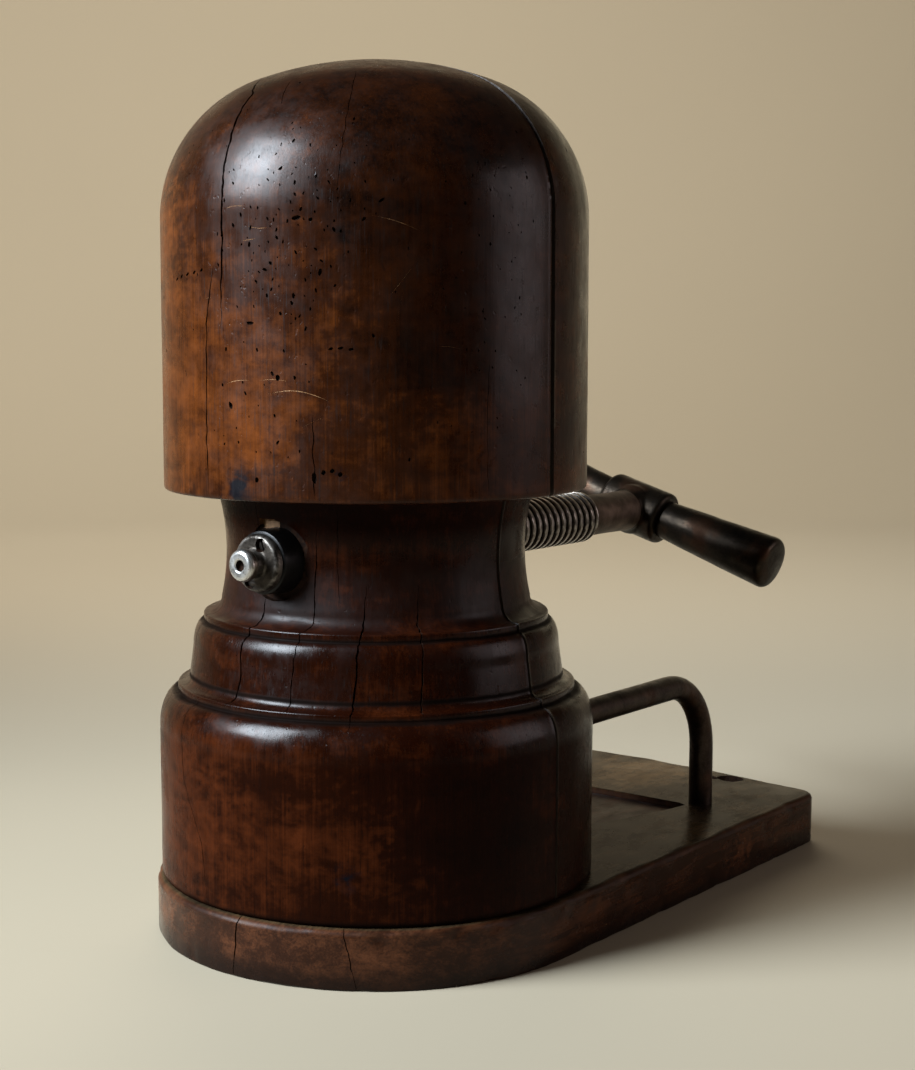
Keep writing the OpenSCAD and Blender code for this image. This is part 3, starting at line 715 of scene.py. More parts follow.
def keep_side(bm, side, face):
    """Cuts the turned shape at the split, fills the flat face and eases its edges."""
    geometry = bm.verts[:] + bm.edges[:] + bm.faces[:]
    cut = bmesh.ops.bisect_plane(bm, geom=geometry, plane_co=(0, side * face, 0),
                                 plane_no=(0, -side, 0), clear_outer=True)
    edges = [e for e in cut["geom_cut"] if isinstance(e, bmesh.types.BMEdge)]
    flat = bmesh.ops.contextual_create(bm, geom=edges)["faces"]
    for new_face in flat:
        new_face.material_index = BARE_INDEX
    bmesh.ops.bevel(bm, geom=edges, offset=SPLIT_EASE, offset_type="OFFSET", segments=2,
                    profile=0.5, affect="EDGES", clamp_overlap=True, material=BARE_INDEX)
    bmesh.ops.recalc_face_normals(bm, faces=bm.faces)


def weather(bm, seed, amount, clear_low, face):
    """Presses the surface in a little, unevenly, as handling has; flat and hidden faces stay."""
    for v in bm.verts:
        r = math.hypot(v.co.x, v.co.y)
        if v.co.z < clear_low or abs(v.co.y) < face + 0.05 or r < 2:
            continue
        wide = noise.noise(v.co * 0.022 + Vector((seed, 0, 0)))
        near = noise.noise(v.co * 0.09 + Vector((0, seed, 0)))
        push = amount * (0.5 + 0.5 * wide) + 0.25 * amount * (0.5 + 0.5 * near)
        v.co -= Vector((v.co.x, v.co.y, 0)).normalized() * push


def surface_path(outline, top, bottom, step=2.0):
    """Points and outward normals down the outer surface, from height top to height bottom."""
    dense = densify(outline[1:], step)
    path = []
    for before, here, after in zip(dense, dense[1:], dense[2:]):
        if bottom - 0.01 <= here[1] <= top + 0.01 and here[0] > 1:
            along = Vector((after[0] - before[0], after[1] - before[1])).normalized()
            path.append((here, Vector((along.y, -along.x))))
    return path[::-1]


def crack(outline, places, width, depth, seed):
    """Wedge-shaped cutter along a drying crack. places are (azimuth in degrees, height) from the top."""
    path = surface_path(outline, places[0][1], places[-1][1])
    sections = []
    for i, ((r, z), normal) in enumerate(path):
        share = i / (len(path) - 1)
        for (a_high, high), (a_low, low) in zip(places, places[1:]):
            if low - 0.01 <= z <= high + 0.01:
                azimuth = a_low + (a_high - a_low) * (z - low) / max(high - low, 0.01)
                break
        out = outward(azimuth + noise.noise(Vector((i * 0.35, seed, 0))) * 0.5)
        taper = min(1, 6 * share + 0.15, 6 * (1 - share) + 0.15)
        half = width / 2 * taper * (0.8 + 0.5 * noise.noise(Vector((i * 0.5, 0, seed))))
        side = UP.cross(out) * half * 1.25
        face_normal = out * normal.x + UP * normal.y
        centre = out * r + UP * z
        lip = centre + face_normal * 0.6
        sections.append((lip + side, centre - face_normal * depth * (0.4 + 0.6 * taper), lip - side))
    return cutter(skinned(sections), CREVICE_INDEX)


def cracks(outline, table, side, seed_step):
    """Cutters of one half's cracks, each wandering in its own way."""
    return [crack(outline, places, width, depth, number * seed_step + side)
            for number, (places, width, depth) in enumerate(table[side])]


def jitter(most):
    """Small random shift, up to the given size along each axis."""
    return Vector([rng.uniform(-most, most) for _ in range(3)])


def add_pit(bm, place, normal, length, width, depth, lean):
    """One irregular nick, longer than wide, sunk into the surface."""
    up = (UP - normal * normal.z).normalized()
    across = up.cross(normal)
    along = up * math.cos(lean) + across * math.sin(lean)
    turn = Matrix((along.cross(normal), along, normal)).transposed().to_4x4()
    size = Matrix.Diagonal((width, length, depth, 1))
    sunk = Matrix.Translation(place - normal * 0.35)
    new = bmesh.ops.create_icosphere(bm, subdivisions=1, radius=1, matrix=sunk @ turn @ size)
    uneven = 0.22 * min(width, depth)
    for v in new["verts"]:
        v.co += jitter(uneven)


def pits(count, azimuths, heights, tight, size=1.0):
    """Cutter of many nicks that keep clear of each other, thickest around a centre if tight."""
    bm = bmesh.new()
    placed = []
    while len(placed) < count:
        if tight:
            azimuth = rng.gauss(sum(azimuths) / 2, (azimuths[1] - azimuths[0]) / 4)
            z = rng.gauss(sum(heights) / 2, (heights[1] - heights[0]) / 4)
        else:
            azimuth = rng.uniform(*azimuths)
            z = rng.uniform(*heights)
        if not HEAD_BOTTOM + 4 < z < HEAD_SIDE_TOP + HEAD_SHOULDER_R * 0.85:
            continue
        place, normal = on_head(azimuth, z)
        if any((place - other).length < PIT_GAP for other in placed):
            continue
        placed.append(place)
        length = rng.uniform(0.45, 1.05) ** 2 * 1.2 * size + 0.2
        add_pit(bm, place, normal, length, max(0.32, length * rng.uniform(0.4, 0.65)),
                rng.uniform(0.75, 1.1), math.radians(rng.gauss(-8, 22)))
    return cutter(bm, CREVICE_INDEX)


GOUGES = [
    (-75.8, 232.6, 1.5, 1.1, 10), (-90, 222, 1.7, 1.0, -20), (-82, 194, 1.1, 1.0, 0),
    (-66.3, 195.4, 2.6, 1.0, -6), (-64, 197.4, 1.2, 1.0, 60), (-61.8, 198.0, 1.2, 0.9, 60),
    (-59.8, 196.8, 1.2, 1.1, 40), (-113, 270.3, 1.4, 0.6, 60), (-110.2, 271.2, 1.3, 0.7, 50),
    (-107, 271.9, 1.5, 0.6, 65), (-103.6, 272.5, 1.4, 0.6, 60), (-100.4, 273.2, 1.2, 0.6, 55),
    (-70.5, 291.5, 2.3, 1.0, 80), (-66.8, 290.7, 1.0, 0.7, 70), (-62, 243.3, 1.2, 0.6, 75),
    (-59.6, 243.6, 1.3, 0.6, 80), (-57, 243.1, 1.2, 0.6, 75), (-64.5, 271.5, 1.7, 0.9, 15),
    (-83.5, 253, 0.9, 1.9, 5), (-49.5, 297.5, 1.6, 0.6, 50)]


def gouges():
    """Cutter of the larger nicks: (azimuth, height, half length, half width, lean in degrees)."""
    bm = bmesh.new()
    for azimuth, z, length, width, lean in GOUGES:
        place, normal = on_head(azimuth, z)
        add_pit(bm, place, normal, length, width, 1.3, math.radians(lean))
    return cutter(bm, CREVICE_INDEX)


def scrape(start, end, width, sag):
    """Thin pale scratch over the head, from one (azimuth, height) to another."""
    sections = []
    steps = 10
    for i in range(steps + 1):
        t = i / steps
        swell = math.sin(math.pi * t)
        place, normal = on_head(start[0] + (end[0] - start[0]) * t,
                                start[1] + (end[1] - start[1]) * t + sag * swell)
        half = UP * width * (0.2 + 0.8 * swell) * rng.uniform(0.7, 1.1)
        lip = place + normal * 0.25
        sections.append((lip + half, place - normal * SCRATCH_DEPTH, lip - half))
    return cutter(skinned(sections), SCRATCH_INDEX)


def dowel_holes(side, bottom, top):
    """Cutters of a half's two dowel holes."""
    return [cutter(post(bottom, top, DOWEL_R + 0.05, x, side * DOWEL_Y))
            for x in (-DOWEL_X, DOWEL_X)]


SPLIT_EASE = 0.4  # rounding of the edges at the split
HEAD_WEAR = 0.28
PIT_GAP = 2.6
PEDESTAL_WEAR = 0.3
HEAD_PITS = {
    -1: [(120, (-94, -53), (248, 324), True, 0.8), (42, (-33, -8), (212, 322), False, 0.6),
         (16, (-93, -68), (200, 238), False, 0.8), (50, (-130, -8), (195, 338), False, 0.6)],
    1: [(60, (15, 165), (195, 335), False)],
}
HEAD_CRACKS = {
    -1: [([(-109, 350), (-96.5, 341), (-93.4, 322), (-92.2, 300), (-92.4, 280), (-93.2, 250)],
          1.15, 5),
         ([(-95.5, 276), (-98.7, 254), (-98.7, 228), (-99.1, 208), (-98.2, 187)], 0.75, 5),
         ([(-58, 349), (-58.9, 328), (-59.7, 312), (-60.2, 299)], 0.35, 2),
         ([(-83.5, 345), (-80, 334)], 0.35, 2),
         ([(-66.8, 220), (-66.5, 202), (-66.2, 187)], 0.5, 4),
         ([(-132, 352), (-128, 330), (-127, 300)], 0.35, 2),
         ([(-22, 240), (-22.6, 212), (-22.2, 187)], 0.3, 2)],
    1: [([(64, 352), (70, 330), (72, 290), (71, 245)], 0.7, 5),
        ([(118, 270), (120, 230), (119, 187)], 0.6, 4),
        ([(150, 345), (149, 318), (151, 290)], 0.35, 2),
        ([(32, 262), (33, 224), (32, 187)], 0.4, 3)],
}
PEDESTAL_CRACKS = {
    -1: [([(-94.2, 150), (-94.8, 134.5), (-95.6, 125), (-94.6, 114), (-96.5, 104)], 0.95, 4),
         ([(-72.6, 176), (-73.4, 148), (-73, 136), (-75.4, 133.5), (-76.6, 104)], 0.6, 3),
         ([(-54.6, 152), (-55.6, 136), (-57, 127), (-57.2, 114), (-58.3, 100)], 0.8, 4),
         ([(-36, 152), (-37.4, 130), (-38, 118), (-38.9, 104)], 0.7, 4),
         ([(-98, 184), (-98.6, 172), (-98, 166)], 0.35, 2),
         ([(-64.5, 184), (-65, 160), (-64, 142)], 0.3, 2),
         ([(-110.2, 108), (-110.3, 92), (-109, 72), (-101, 50), (-98.4, 27)], 0.45, 3),
         ([(-128, 150), (-127, 133), (-128, 110), (-129, 97)], 0.4, 3)],
    1: [([(70, 150), (71, 130), (70, 104)], 0.6, 4),
        ([(112, 148), (113, 126), (111, 96)], 0.5, 4),
        ([(38, 96), (39, 62), (38, 27)], 0.5, 4),
        ([(140, 110), (141, 92), (140, 60)], 0.4, 3)],
}
SCRATCH_DEPTH = 0.3
HEAD_SCRATCHES = [((-91.3, 295.9), (-84.5, 296.3), 0.5, 0.5),
                  ((-84, 289), (-77.4, 288.3), 0.35, -0.6),
                  ((-85.7, 283.6), (-81.7, 284.2), 0.5, 0), ((-91, 230.3), (-84, 231.5), 0.7, 0.5),
                  ((-80.8, 231.4), (-73.4, 231.3), 0.6, 0.6), ((-78.6, 226.4), (-62.6, 224), 0.6, 2.5),
                  ((-48, 262), (-41, 275), 0.3, 0), ((-46, 252), (-44.5, 264), 0.25, 0),
                  ((-70, 213), (-64, 218), 0.25, 0.5), ((-100, 262), (-96, 263), 0.4, 0),
                  ((-36, 244), (-30, 243), 0.25, 0.4), ((-52, 292), (-40, 286), 0.25, 0.8)]


def make_head(side, name, body):
    """One half of the domed head."""
    front = side < 0
    outline = head_outline()
    step = 1.15 if front else 1.5
    columns = 460 if front else 360
    bm = lathe(densify(outline, step), columns)
    keep_side(bm, side, HEAD_FACE)
    weather(bm, 3.1 if front else 8.4, HEAD_WEAR, HEAD_BOTTOM + 0.5, HEAD_FACE)
    obj = to_object(bm, name)
    cutters = dowel_holes(side, HEAD_BOTTOM - 5, DOWEL_TOP + 1)
    cutters += cracks(outline, HEAD_CRACKS, side, 3.7)
    cutters += [pits(*group) for group in HEAD_PITS[side]]
    if front:
        cutters.append(gouges())
        cutters += [scrape(*scratch_line) for scratch_line in HEAD_SCRATCHES]
    cut_away(obj, cutters)
    finish_piece(obj, name, body, (HEAD_WOOD, *CUT_MATERIALS))


def pale_flat():
    """Cuts a sliver of bare pale wood out of the flat, above the boss and left of its middle."""
    bm = block((-8, -100, SCREW_Z + 12.4), (0.3, BOSS_BACK + 0.15, SCREW_Z + SPOTFACE_R + 0.4))
    return cutter(bm, SCRATCH_INDEX)


def plate_pocket(side, half_width, depth, half_height):
    """Pocket in the flat face of a half, into which an iron plate is let."""
    y_low, y_high = sorted((side * depth, -side * 5))
    return cutter(block((-half_width, y_low, SCREW_Z - half_height),
                        (half_width, y_high, SCREW_Z + half_height)))


def make_pedestal(side, name, body):
    """One half of the pedestal, with its bores and recesses."""
    front = side < 0
    bottom = BOARD_T + (0 if front else SLIDE_CLEAR)
    outline = pedestal_outline(bottom)
    bm = lathe(densify(outline, 1.6), 400)
    keep_side(bm, side, PEDESTAL_FACE)
    weather(bm, 5.7 if front else 1.9, PEDESTAL_WEAR, bottom + 0.5, PEDESTAL_FACE)
    for v in bm.verts:
        if v.co.z > HEAD_BOTTOM - 1:
            v.co.z = HEAD_BOTTOM
    obj = to_object(bm, name)
    cutters = dowel_holes(side, DOWEL_BOTTOM - 1, HEAD_BOTTOM + 5)
    if front:
        cutters += [cutter(tube_y(SHAFT_FRONT, 5, SHAFT_BORE_R)),
                    cutter(tube_y(-100, SHAFT_FRONT + 1, JOURNAL_R + 1)),
                    cutter(tube_y(-100, BOSS_BACK, SPOTFACE_R), CREVICE_INDEX),
                    pale_flat(),
                    plate_pocket(side, *THRUST_PLATE)]
        reach = (STAY_FRONT - 1, 5, STAY_R + 0.05)
    else:
        cutters += [cutter(tube_y(-5, 100, THREAD_BORE_R)), plate_pocket(side, *NUT_PLATE),
                    cutter(block(*KEY_SLOT))]
        reach = (-5, 100, STAY_R + 0.35)
    for x in (-STAY_X, STAY_X):
        cutters.append(cutter(tube_y(*reach, x, STAY_Z, 40)))
    cutters += cracks(outline, PEDESTAL_CRACKS, side, 2.3)
    cut_away(obj, cutters)
    finish_piece(obj, name, body, (PEDESTAL_WOOD, *CUT_MATERIALS))


make_head(-1, "head_front", "base")
make_head(1, "head_rear", "rear_half")
make_pedestal(-1, "pedestal_front", "base")
make_pedestal(1, "pedestal_rear", "rear_half")


# ---- board ----

def rear_edge(x):
    """Place of the board's rear edge at a distance x from the middle."""
    reach = BOARD_REAR - BOARD_REAR_ARC_R
    centre = (reach * math.sin(BOARD_REAR_SKEW), reach * math.cos(BOARD_REAR_SKEW))
    return centre[1] + math.sqrt(BOARD_REAR_ARC_R ** 2 - (x - centre[0]) ** 2)


def board_outline(step=2.0):
    """Plan of the board, counter-clockwise from the right end of the nose."""
    inner = BOARD_R - BOARD_CORNER_R
    right = (inner, rear_edge(inner) - BOARD_CORNER_R)
    left = (-inner, rear_edge(-inner) - BOARD_CORNER_R)
    nose = arc(0, 0, BOARD_R, -180, 0, 90)
    corner_right = arc(*right, BOARD_CORNER_R, 0, 83, 6)
    corner_left = arc(*left, BOARD_CORNER_R, 90, 180, 6)
    rear = [(x, rear_edge(x)) for x in range(76, -76, -8)]
    return densify(nose + corner_right + rear + corner_left + nose[:1], step)[:-1]


def make_board():
    """Board with uneven, worn arrises, the shallow recess and the holes of the stays."""
    plan = board_outline()
    levels = [0, 0.25, 0.6, 1, 1.5, 4, 7, 10, 13, 16, 19]
    levels += [BOARD_T - t for t in (4, 3.2, 2.5, 1.9, 1.4, 0.95, 0.55, 0.25, 0.08, 0)]
    sections = []
    for z in levels:
        section = []
        for i, (x, y) in enumerate(plan):
            ahead = plan[(i + 1) % len(plan)]
            behind = plan[i - 1]
            inward = Vector((-(ahead[1] - behind[1]), ahead[0] - behind[0])).normalized()
            wear_top = 2.4 + 1.7 * noise.noise(Vector((x, y, 3)) * 0.05)
            wear_low = 1.0 + 0.9 * noise.noise(Vector((x, y, 9)) * 0.08)
            dent = max(0, noise.noise(Vector((x * 0.11, y * 0.11, z * 0.2))) - 0.25) * 1.6
            depth = 0.15 + dent * (1 if z < 6 or z > 18 else 0.3)
            for wear, from_edge in ((wear_top, BOARD_T - z), (wear_low, z)):
                if from_edge < wear:
                    t = 1 - from_edge / wear
                    depth += wear * (1 - math.sqrt(max(0, 1 - t * t)))
            section.append((x + inward.x * depth, y + inward.y * depth, z))
        sections.append(section)
    obj = to_object(skinned(sections), "base_board")
    cut_away(obj, [recess_cutter()] + stay_holes() + [base_screw_hole(*p) for p in BASE_SCREWS]
             + [nose_crack(-87, -88.5, 0.55), nose_crack(-59.5, -56.3, 0.35)]
             + [knot_hole(46, 228, 7.5, 6, 4.5), knot_hole(37, 224, 4.5, 3.5, 2.5)])
    finish_piece(obj, "base_board", "base", (BOARD_WOOD, *CUT_MATERIALS))


BASE_SCREWS = [(-48, -46), (48, -46), (0, -24)]


def recess_cutter():
    """Splayed shallow recess behind the drum, its side edges a little curved."""
    side = [(30, 5), (31, 60), (32.5, 91), (38.5, 110), (44.6, 128), (49.4, 145), (52.4, 157),
            (54.2, 167)]
    rear = [(x, RECESS_REAR + 0.8 - 0.0006 * x * x) for x in (50, 30, 10, -10, -30, -50)]
    plan = side + rear + [(-x, y) for x, y in side[::-1]]
    floor = [(x, y, BOARD_T - RECESS_DEPTH) for x, y in plan]
    roof = [(x * 1.012, y + (0.6 if y > 100 else 0), BOARD_T + 2) for x, y in plan]
    return cutter(skinned([floor, roof]), 0)


def stay_holes():
    """Cutters of the stays' holes and of the pockets for their nuts."""
    return [cutter(post(-5, top, r, x, STAY_LEG_Y)) for x in (-STAY_X, STAY_X)
            for top, r in ((30, STAY_R + 0.05), (8, STAY_NUT_POCKET_R))]


def base_screw_hole(x, y):
    head, shank = BASE_SCREW_HEAD_R, BASE_SCREW_R
    bm = lathe([(0, -5), (head, -5), (head, 2), (shank, 5.2), (shank, 30), (0, 30)], 40)
    bm.transform(Matrix.Translation((x, y, 0)))
    return cutter(bm)


def knot_hole(x, y, across, along, depth):
    """Cutter of a ragged hole where a knot has broken out of the board's top."""
    bm = bmesh.new()
    bmesh.ops.create_icosphere(bm, subdivisions=2, radius=1,
                               matrix=Matrix.Translation((x, y, BOARD_T + 0.5))
                               @ Matrix.Diagonal((across, along, depth, 1)))
    for v in bm.verts:
        v.co += jitter(0.7)
    return cutter(bm, CREVICE_INDEX)


def nose_crack(top_azimuth, low_azimuth, width):
    """Drying crack down the board's nose."""
    sections = []
    for i in range(13):
        wander = 0.5 * noise.noise(Vector((i * 0.7, width * 9, 0)))
        out = outward(top_azimuth + (low_azimuth - top_azimuth) * i / 12 + wander)
        side = UP.cross(out) * width * (0.75 if i < 9 else 0.4)
        lip = out * (BOARD_R + 1) + UP * (BOARD_T + 1 - i * 2)
        sections.append((lip + side, lip - out * 6, lip - side))
    return cutter(skinned(sections), CREVICE_INDEX)


make_board()


# ---- bearing at the front ----

def flange_screw_places():
    """Centres of the two screws in the flange's face."""
    for turn in (0, math.pi):
        angle = FLANGE_SCREW_TURN + turn
        yield FLANGE_SCREW_PCR * math.sin(angle), SCREW_Z + FLANGE_SCREW_PCR * math.cos(angle)


def sleeve(outer, bore_r, start, end):
    """Turned ring about the screw's axis: an outer outline, closed by a bore."""
    return lay_along_y(lathe([(bore_r, start)] + outer + [(bore_r, end)], 96, closed=True))


def make_flange():
    """Flange with a rounded rim, a small filleted hub and two countersunk screw holes."""
    face, fillet = FLANGE_FRONT, 1.2
    rim = arc(FLANGE_R - 1.7, face + 1.7, 1.7, -90, 0, 8)
    hub = [(FLANGE_HUB_R - 0.4, KNOB_BACK), (FLANGE_HUB_R, KNOB_BACK + 0.4),
           (FLANGE_HUB_R, face - fillet)]
    hub += [(FLANGE_HUB_R + fillet * (1 - math.cos(a)), face - fillet * (1 - math.sin(a)))
            for a in (0.4, 0.8, 1.2, 1.57)]
    outer = hub + rim + [(FLANGE_R, FLANGE_BACK - 0.3), (FLANGE_R - 0.3, FLANGE_BACK)]
    flange = to_object(sleeve(outer, JOURNAL_R + 0.05, KNOB_BACK, FLANGE_BACK), "bearing_flange")
    mouth, passage = FLANGE_SCREW_HEAD_R + 0.3, FLANGE_SCREW_R + 0.05
    sink = [(0, face - 1), (mouth, face - 1), (mouth, face + 1.6), (passage, face + 2.8),
            (passage, face + 5), (0, face + 5)]
    # The countersinks take the dark crevice fill, partly painted shade.
    cut_away(flange, [cutter(lay_along_y(lathe(sink, 40), x, z), CREVICE_INDEX)
                      for x, z in flange_screw_places()])
    finish_piece(flange, "bearing_flange", "base", (BEARING_IRON, CREVICE))


def make_flange_screws():
    """Two dark slotted screws, their heads sunk below the flange's face."""
    top = FLANGE_FRONT + 1.1
    end = FLANGE_FRONT + 20
    outline = [(0, top), (FLANGE_SCREW_HEAD_R - 0.7, top + 0.1),
               (FLANGE_SCREW_HEAD_R - 0.1, top + 0.5), (FLANGE_SCREW_R, top + 1.6),
               (FLANGE_SCREW_R, end), (0, end)]
    both = bmesh.new()
    for x, z in flange_screw_places():
        screw = to_object(lay_along_y(lathe(outline, 40), x, z), "flange_screw")
        slot = block((-4, top - 1, -0.5), (4, top + 0.7, 0.5))
        slot.transform(Matrix.Translation((x, 0, z)) @ Matrix.Rotation(0.6 + x * 0.2, 4, "Y"))
        cut_away(screw, [cutter(slot, 0)])
        both.from_mesh(screw.data)
        bpy.data.objects.remove(screw)
    screws = to_object(both, "flange_screws")
    finish_piece(screws, "flange_screws", "base", (SCREW_IRON,))


def make_boss():
    """Black turned boss, slightly tapered, that fills the gap between flange and neck."""
    outer = [(BOSS_FACE_R - 0.8, FLANGE_BACK), (BOSS_FACE_R - 0.2, FLANGE_BACK + 0.3),
             (BOSS_FACE_R, FLANGE_BACK + 0.9), (BOSS_BASE_R - 0.1, BOSS_BACK - 2.2),
             (BOSS_BASE_R, BOSS_BACK - 1.2), (BOSS_BASE_R, BOSS_BACK)]
    boss = to_object(sleeve(densify(outer, 1.5), JOURNAL_R + 1, FLANGE_BACK, BOSS_BACK),
                     "bearing_boss")
    finish_piece(boss, "bearing_boss", "base", (BLACK_WOOD,))


def make_knob():
    """End cap with a rounded edge, a centre hole and the pin that joins it to the screw."""
    front, back, hole, pin = KNOB_FRONT, KNOB_BACK, KNOB_HOLE_R, KNOB_PIN_R
    outline = [(0, front + 2.4), (hole * 0.8, front + 2.3), (hole, front + 1.8),
               (hole, front + 0.6), (hole + 0.3, front + 0.2), (hole + 0.9, front + 0.05)]
    outline += arc(KNOB_R - 2.1, front + 2.15, 2.1, -80, 0, 9)
    outline += [(KNOB_R, back - 0.7), (KNOB_R - 0.5, back - 0.05), (pin, back),
                (pin, back + 12), (0, back + 12)]
    bm = lathe(densify(outline, 0.5), 72)
    for face in bm.faces:
        place = face.calc_center_median()
        if math.hypot(place.x, place.y) < hole and place.z < back:
            face.material_index = CREVICE_INDEX
    knob = to_object(lay_along_y(bm), "end_knob")
    finish_piece(knob, "end_knob", "screw", (BRIGHT_STEEL, CREVICE), 50)


make_flange()
make_flange_screws()
make_boss()
make_knob()


# ---- screw and tee handle ----

def thread_radius(y, angle):
    """Radius of the screw at a station and an angle about its axis (right-hand thread)."""
    turns = (y / THREAD_PITCH - angle / (2 * math.pi)) % 1
    flank = abs(turns - 0.5) * 2
    shape = min(1, max(0, (flank - 0.30) / 0.34))
    shape = shape * shape * (3 - 2 * shape)
    start = min(1, max(0, (y - COLLAR[1] - 1) / 4))
    end = min(1, max(0, (THREAD_REAR - 1.5 - y) / 2))
    full = THREAD_R if y < THREAD_REAR - 1.2 else THREAD_R - (y - THREAD_REAR + 1.2)
    return full - THREAD_DEPTH * (1 - shape) * start * end


def make_spindle():
    """Journal, plain shaft, collar, real helical thread and shank, as one turned piece."""
    columns = 96
    bore_end = KNOB_BACK + 12.5
    front = [(KNOB_PIN_R + 0.05, bore_end), (KNOB_PIN_R + 0.05, KNOB_BACK), (JOURNAL_R, KNOB_BACK),
             (JOURNAL_R, SHAFT_FRONT), (SHAFT_R, SHAFT_FRONT), (SHAFT_R, COLLAR[0]),
             (COLLAR_R, COLLAR[0]), (COLLAR_R, COLLAR[1]), (THREAD_R, COLLAR[1])]
    steps = 520
    length = THREAD_REAR - COLLAR[1]
    stations = [COLLAR[1] + length * i / steps for i in range(1, steps + 1)]
    neck = [(SHANK_R + 0.6, THREAD_REAR), (SHANK_R, THREAD_REAR + 0.8), (SHANK_R - 0.15, 166),
            (SHANK_R - 0.25, 178), (SHANK_R - 0.1, 190), (SHANK_R, SHANK_REAR),
            (TENON_R, SHANK_REAR), (TENON_R, TENON_REAR), (0, TENON_REAR)]
    outline = [(0, bore_end)] + front + [(None, y) for y in stations] + densify(neck, 3)
    sections = []
    for r, y in outline:
        section = []
        for i in range(columns if r != 0 else 1):
            angle = 2 * math.pi * i / columns
            radius = thread_radius(y, angle) if r is None else r
            section.append((radius * math.sin(angle), y, SCREW_Z + radius * math.cos(angle)))
        sections.append(section)
    obj = to_object(skinned(sections, capped=False), "screw_spindle")
    finish_piece(obj, "screw_spindle", "screw", (THREAD_STEEL,), 40)


def along_arm(side):
    """Places what is drawn about Z along one arm of the handle."""
    turn = HANDLE_TILT + (math.pi if side < 0 else 0)
    return (Matrix.Translation((0, HANDLE_Y, SCREW_Z)) @ Matrix.Rotation(turn, 4, "Y")
            @ Matrix.Rotation(math.pi / 2, 4, "Y"))


def forge(bm, seed, amount):
    """Slight inward unevenness of a forged and filed piece."""
    bmesh.ops.recalc_face_normals(bm, faces=bm.faces)
    bm.normal_update()
    for v in bm.verts:
        push = 0.5 + 0.5 * noise.noise(v.co * 0.12 + Vector((seed, seed, 0)))
        v.co -= v.normal * amount * push


def make_arm(side, name):
    """Tapered arm with a domed end."""
    tenon_start = SOCKET_HALF - ARM_TENON
    outline = [(0, tenon_start), (ARM_TENON_R, tenon_start), (ARM_TENON_R, SOCKET_HALF),
               (ARM_ROOT_R - 0.3, SOCKET_HALF), (ARM_ROOT_R, SOCKET_HALF + 0.5)]
    swell = [(ARM_ROOT_R + (ARM_END_R - ARM_ROOT_R) * t ** 0.9,
              SOCKET_HALF + 0.5 + (ARM_REACH - 5.8 - SOCKET_HALF) * t)
             for t in (0.1, 0.25, 0.4, 0.55, 0.7, 0.85, 1)]
    end = arc(ARM_END_R - 3.4, ARM_REACH - 4.6, 3.4, 8, 66, 9)
    dome = [(end[-1][0] * k, ARM_REACH - (ARM_REACH - end[-1][1]) * k * k) for k in (0.75, 0.5, 0.25)]
    bm = lathe(densify(outline + swell + end + dome + [(0, ARM_REACH)], 1.6), 80)
    forge(bm, 4.2 * side, 0.35)
    bm.transform(along_arm(side))
    obj = to_object(bm, name)
    finish_piece(obj, name, "screw", (HANDLE_IRON,), 45)


def make_socket():
    """Tube across the screw's end, melted into a flared neck that grips the shank."""
    tube = [(0, -SOCKET_HALF)] + arc(SOCKET_R - 2.2, -SOCKET_HALF + 2.2, 2.2, -90, 0, 6)
    tube += arc(SOCKET_R - 2.2, SOCKET_HALF - 2.2, 2.2, 0, 90, 6) + [(0, SOCKET_HALF)]
    body = lathe(densify(tube, 2), 72)
    body.transform(along_arm(1))
    obj = to_object(body, "tee_socket")
    start = SHANK_REAR
    flare = [(0, start), (SHANK_R + 0.05, start), (SHANK_R + 0.15, start + 1.5),
             (SHANK_R + 0.7, start + 3), (SHANK_R + 1.8, start + 4.6), (SHANK_R + 2.6, start + 6),
             (SHANK_R + 2.6, HANDLE_Y), (0, HANDLE_Y)]
    neck = to_object(lay_along_y(lathe(densify(flare, 2), 72)), "neck")
    add_modifier(obj, "BOOLEAN", operation="UNION", solver="EXACT", object=neck)
    add_modifier(obj, "REMESH", mode="VOXEL", voxel_size=0.55)
    add_modifier(obj, "SMOOTH", factor=0.5, iterations=9)
    apply_modifiers(obj)
    bpy.data.objects.remove(neck)
    bm = bmesh.new()
    bm.from_mesh(obj.data)
    forge(bm, 2.7, 0.15)
    bm.to_mesh(obj.data)
    bm.free()
    finish_piece(obj, "tee_socket", "screw", (HANDLE_IRON,), 60)


make_spindle()
make_socket()
make_arm(1, "handle_arm_right")
make_arm(-1, "handle_arm_left")


# ---- guide stays ----

def make_stay(side, name):
    """Round bar swept along its level run, bend and leg, a little uneven as forged bar is."""
    bend_y = STAY_LEG_Y - STAY_BEND_R
    bend_z = STAY_Z - STAY_BEND_R
    line = [(STAY_FRONT, STAY_Z), (bend_y, STAY_Z)]
    line += [(bend_y + STAY_BEND_R * math.sin(a), bend_z + STAY_BEND_R * math.cos(a))
             for a in [math.pi / 2 * i / 24 for i in range(1, 25)]]
    line += [(STAY_LEG_Y, STAY_BOTTOM)]
    line = densify(line, 2.2)
    columns = 40
    sections = []
    for i, (y, z) in enumerate(line):
        before = line[max(0, i - 1)]
        after = line[min(len(line) - 1, i + 1)]
        along = Vector((0, after[0] - before[0], after[1] - before[1])).normalized()
        across = Vector((1, 0, 0))
        over = along.cross(across)
        section = []
        for k in range(columns):
            a = 2 * math.pi * k / columns
            out = across * math.cos(a) + over * math.sin(a)
            place = Vector((side * STAY_X, y, z))
            thin = 0.22 * (0.5 + 0.5 * noise.noise((place + out * 6) * 0.06))
            section.append(place + out * (STAY_R - thin))
        sections.append(section)
    obj = to_object(skinned(sections), name)
    finish_piece(obj, name, "base", (STAY_IRON,), 50)


make_stay(1, "guide_stay_right")
make_stay(-1, "guide_stay_left")

# ---- CAD nodes whose shape is right get their materials ----

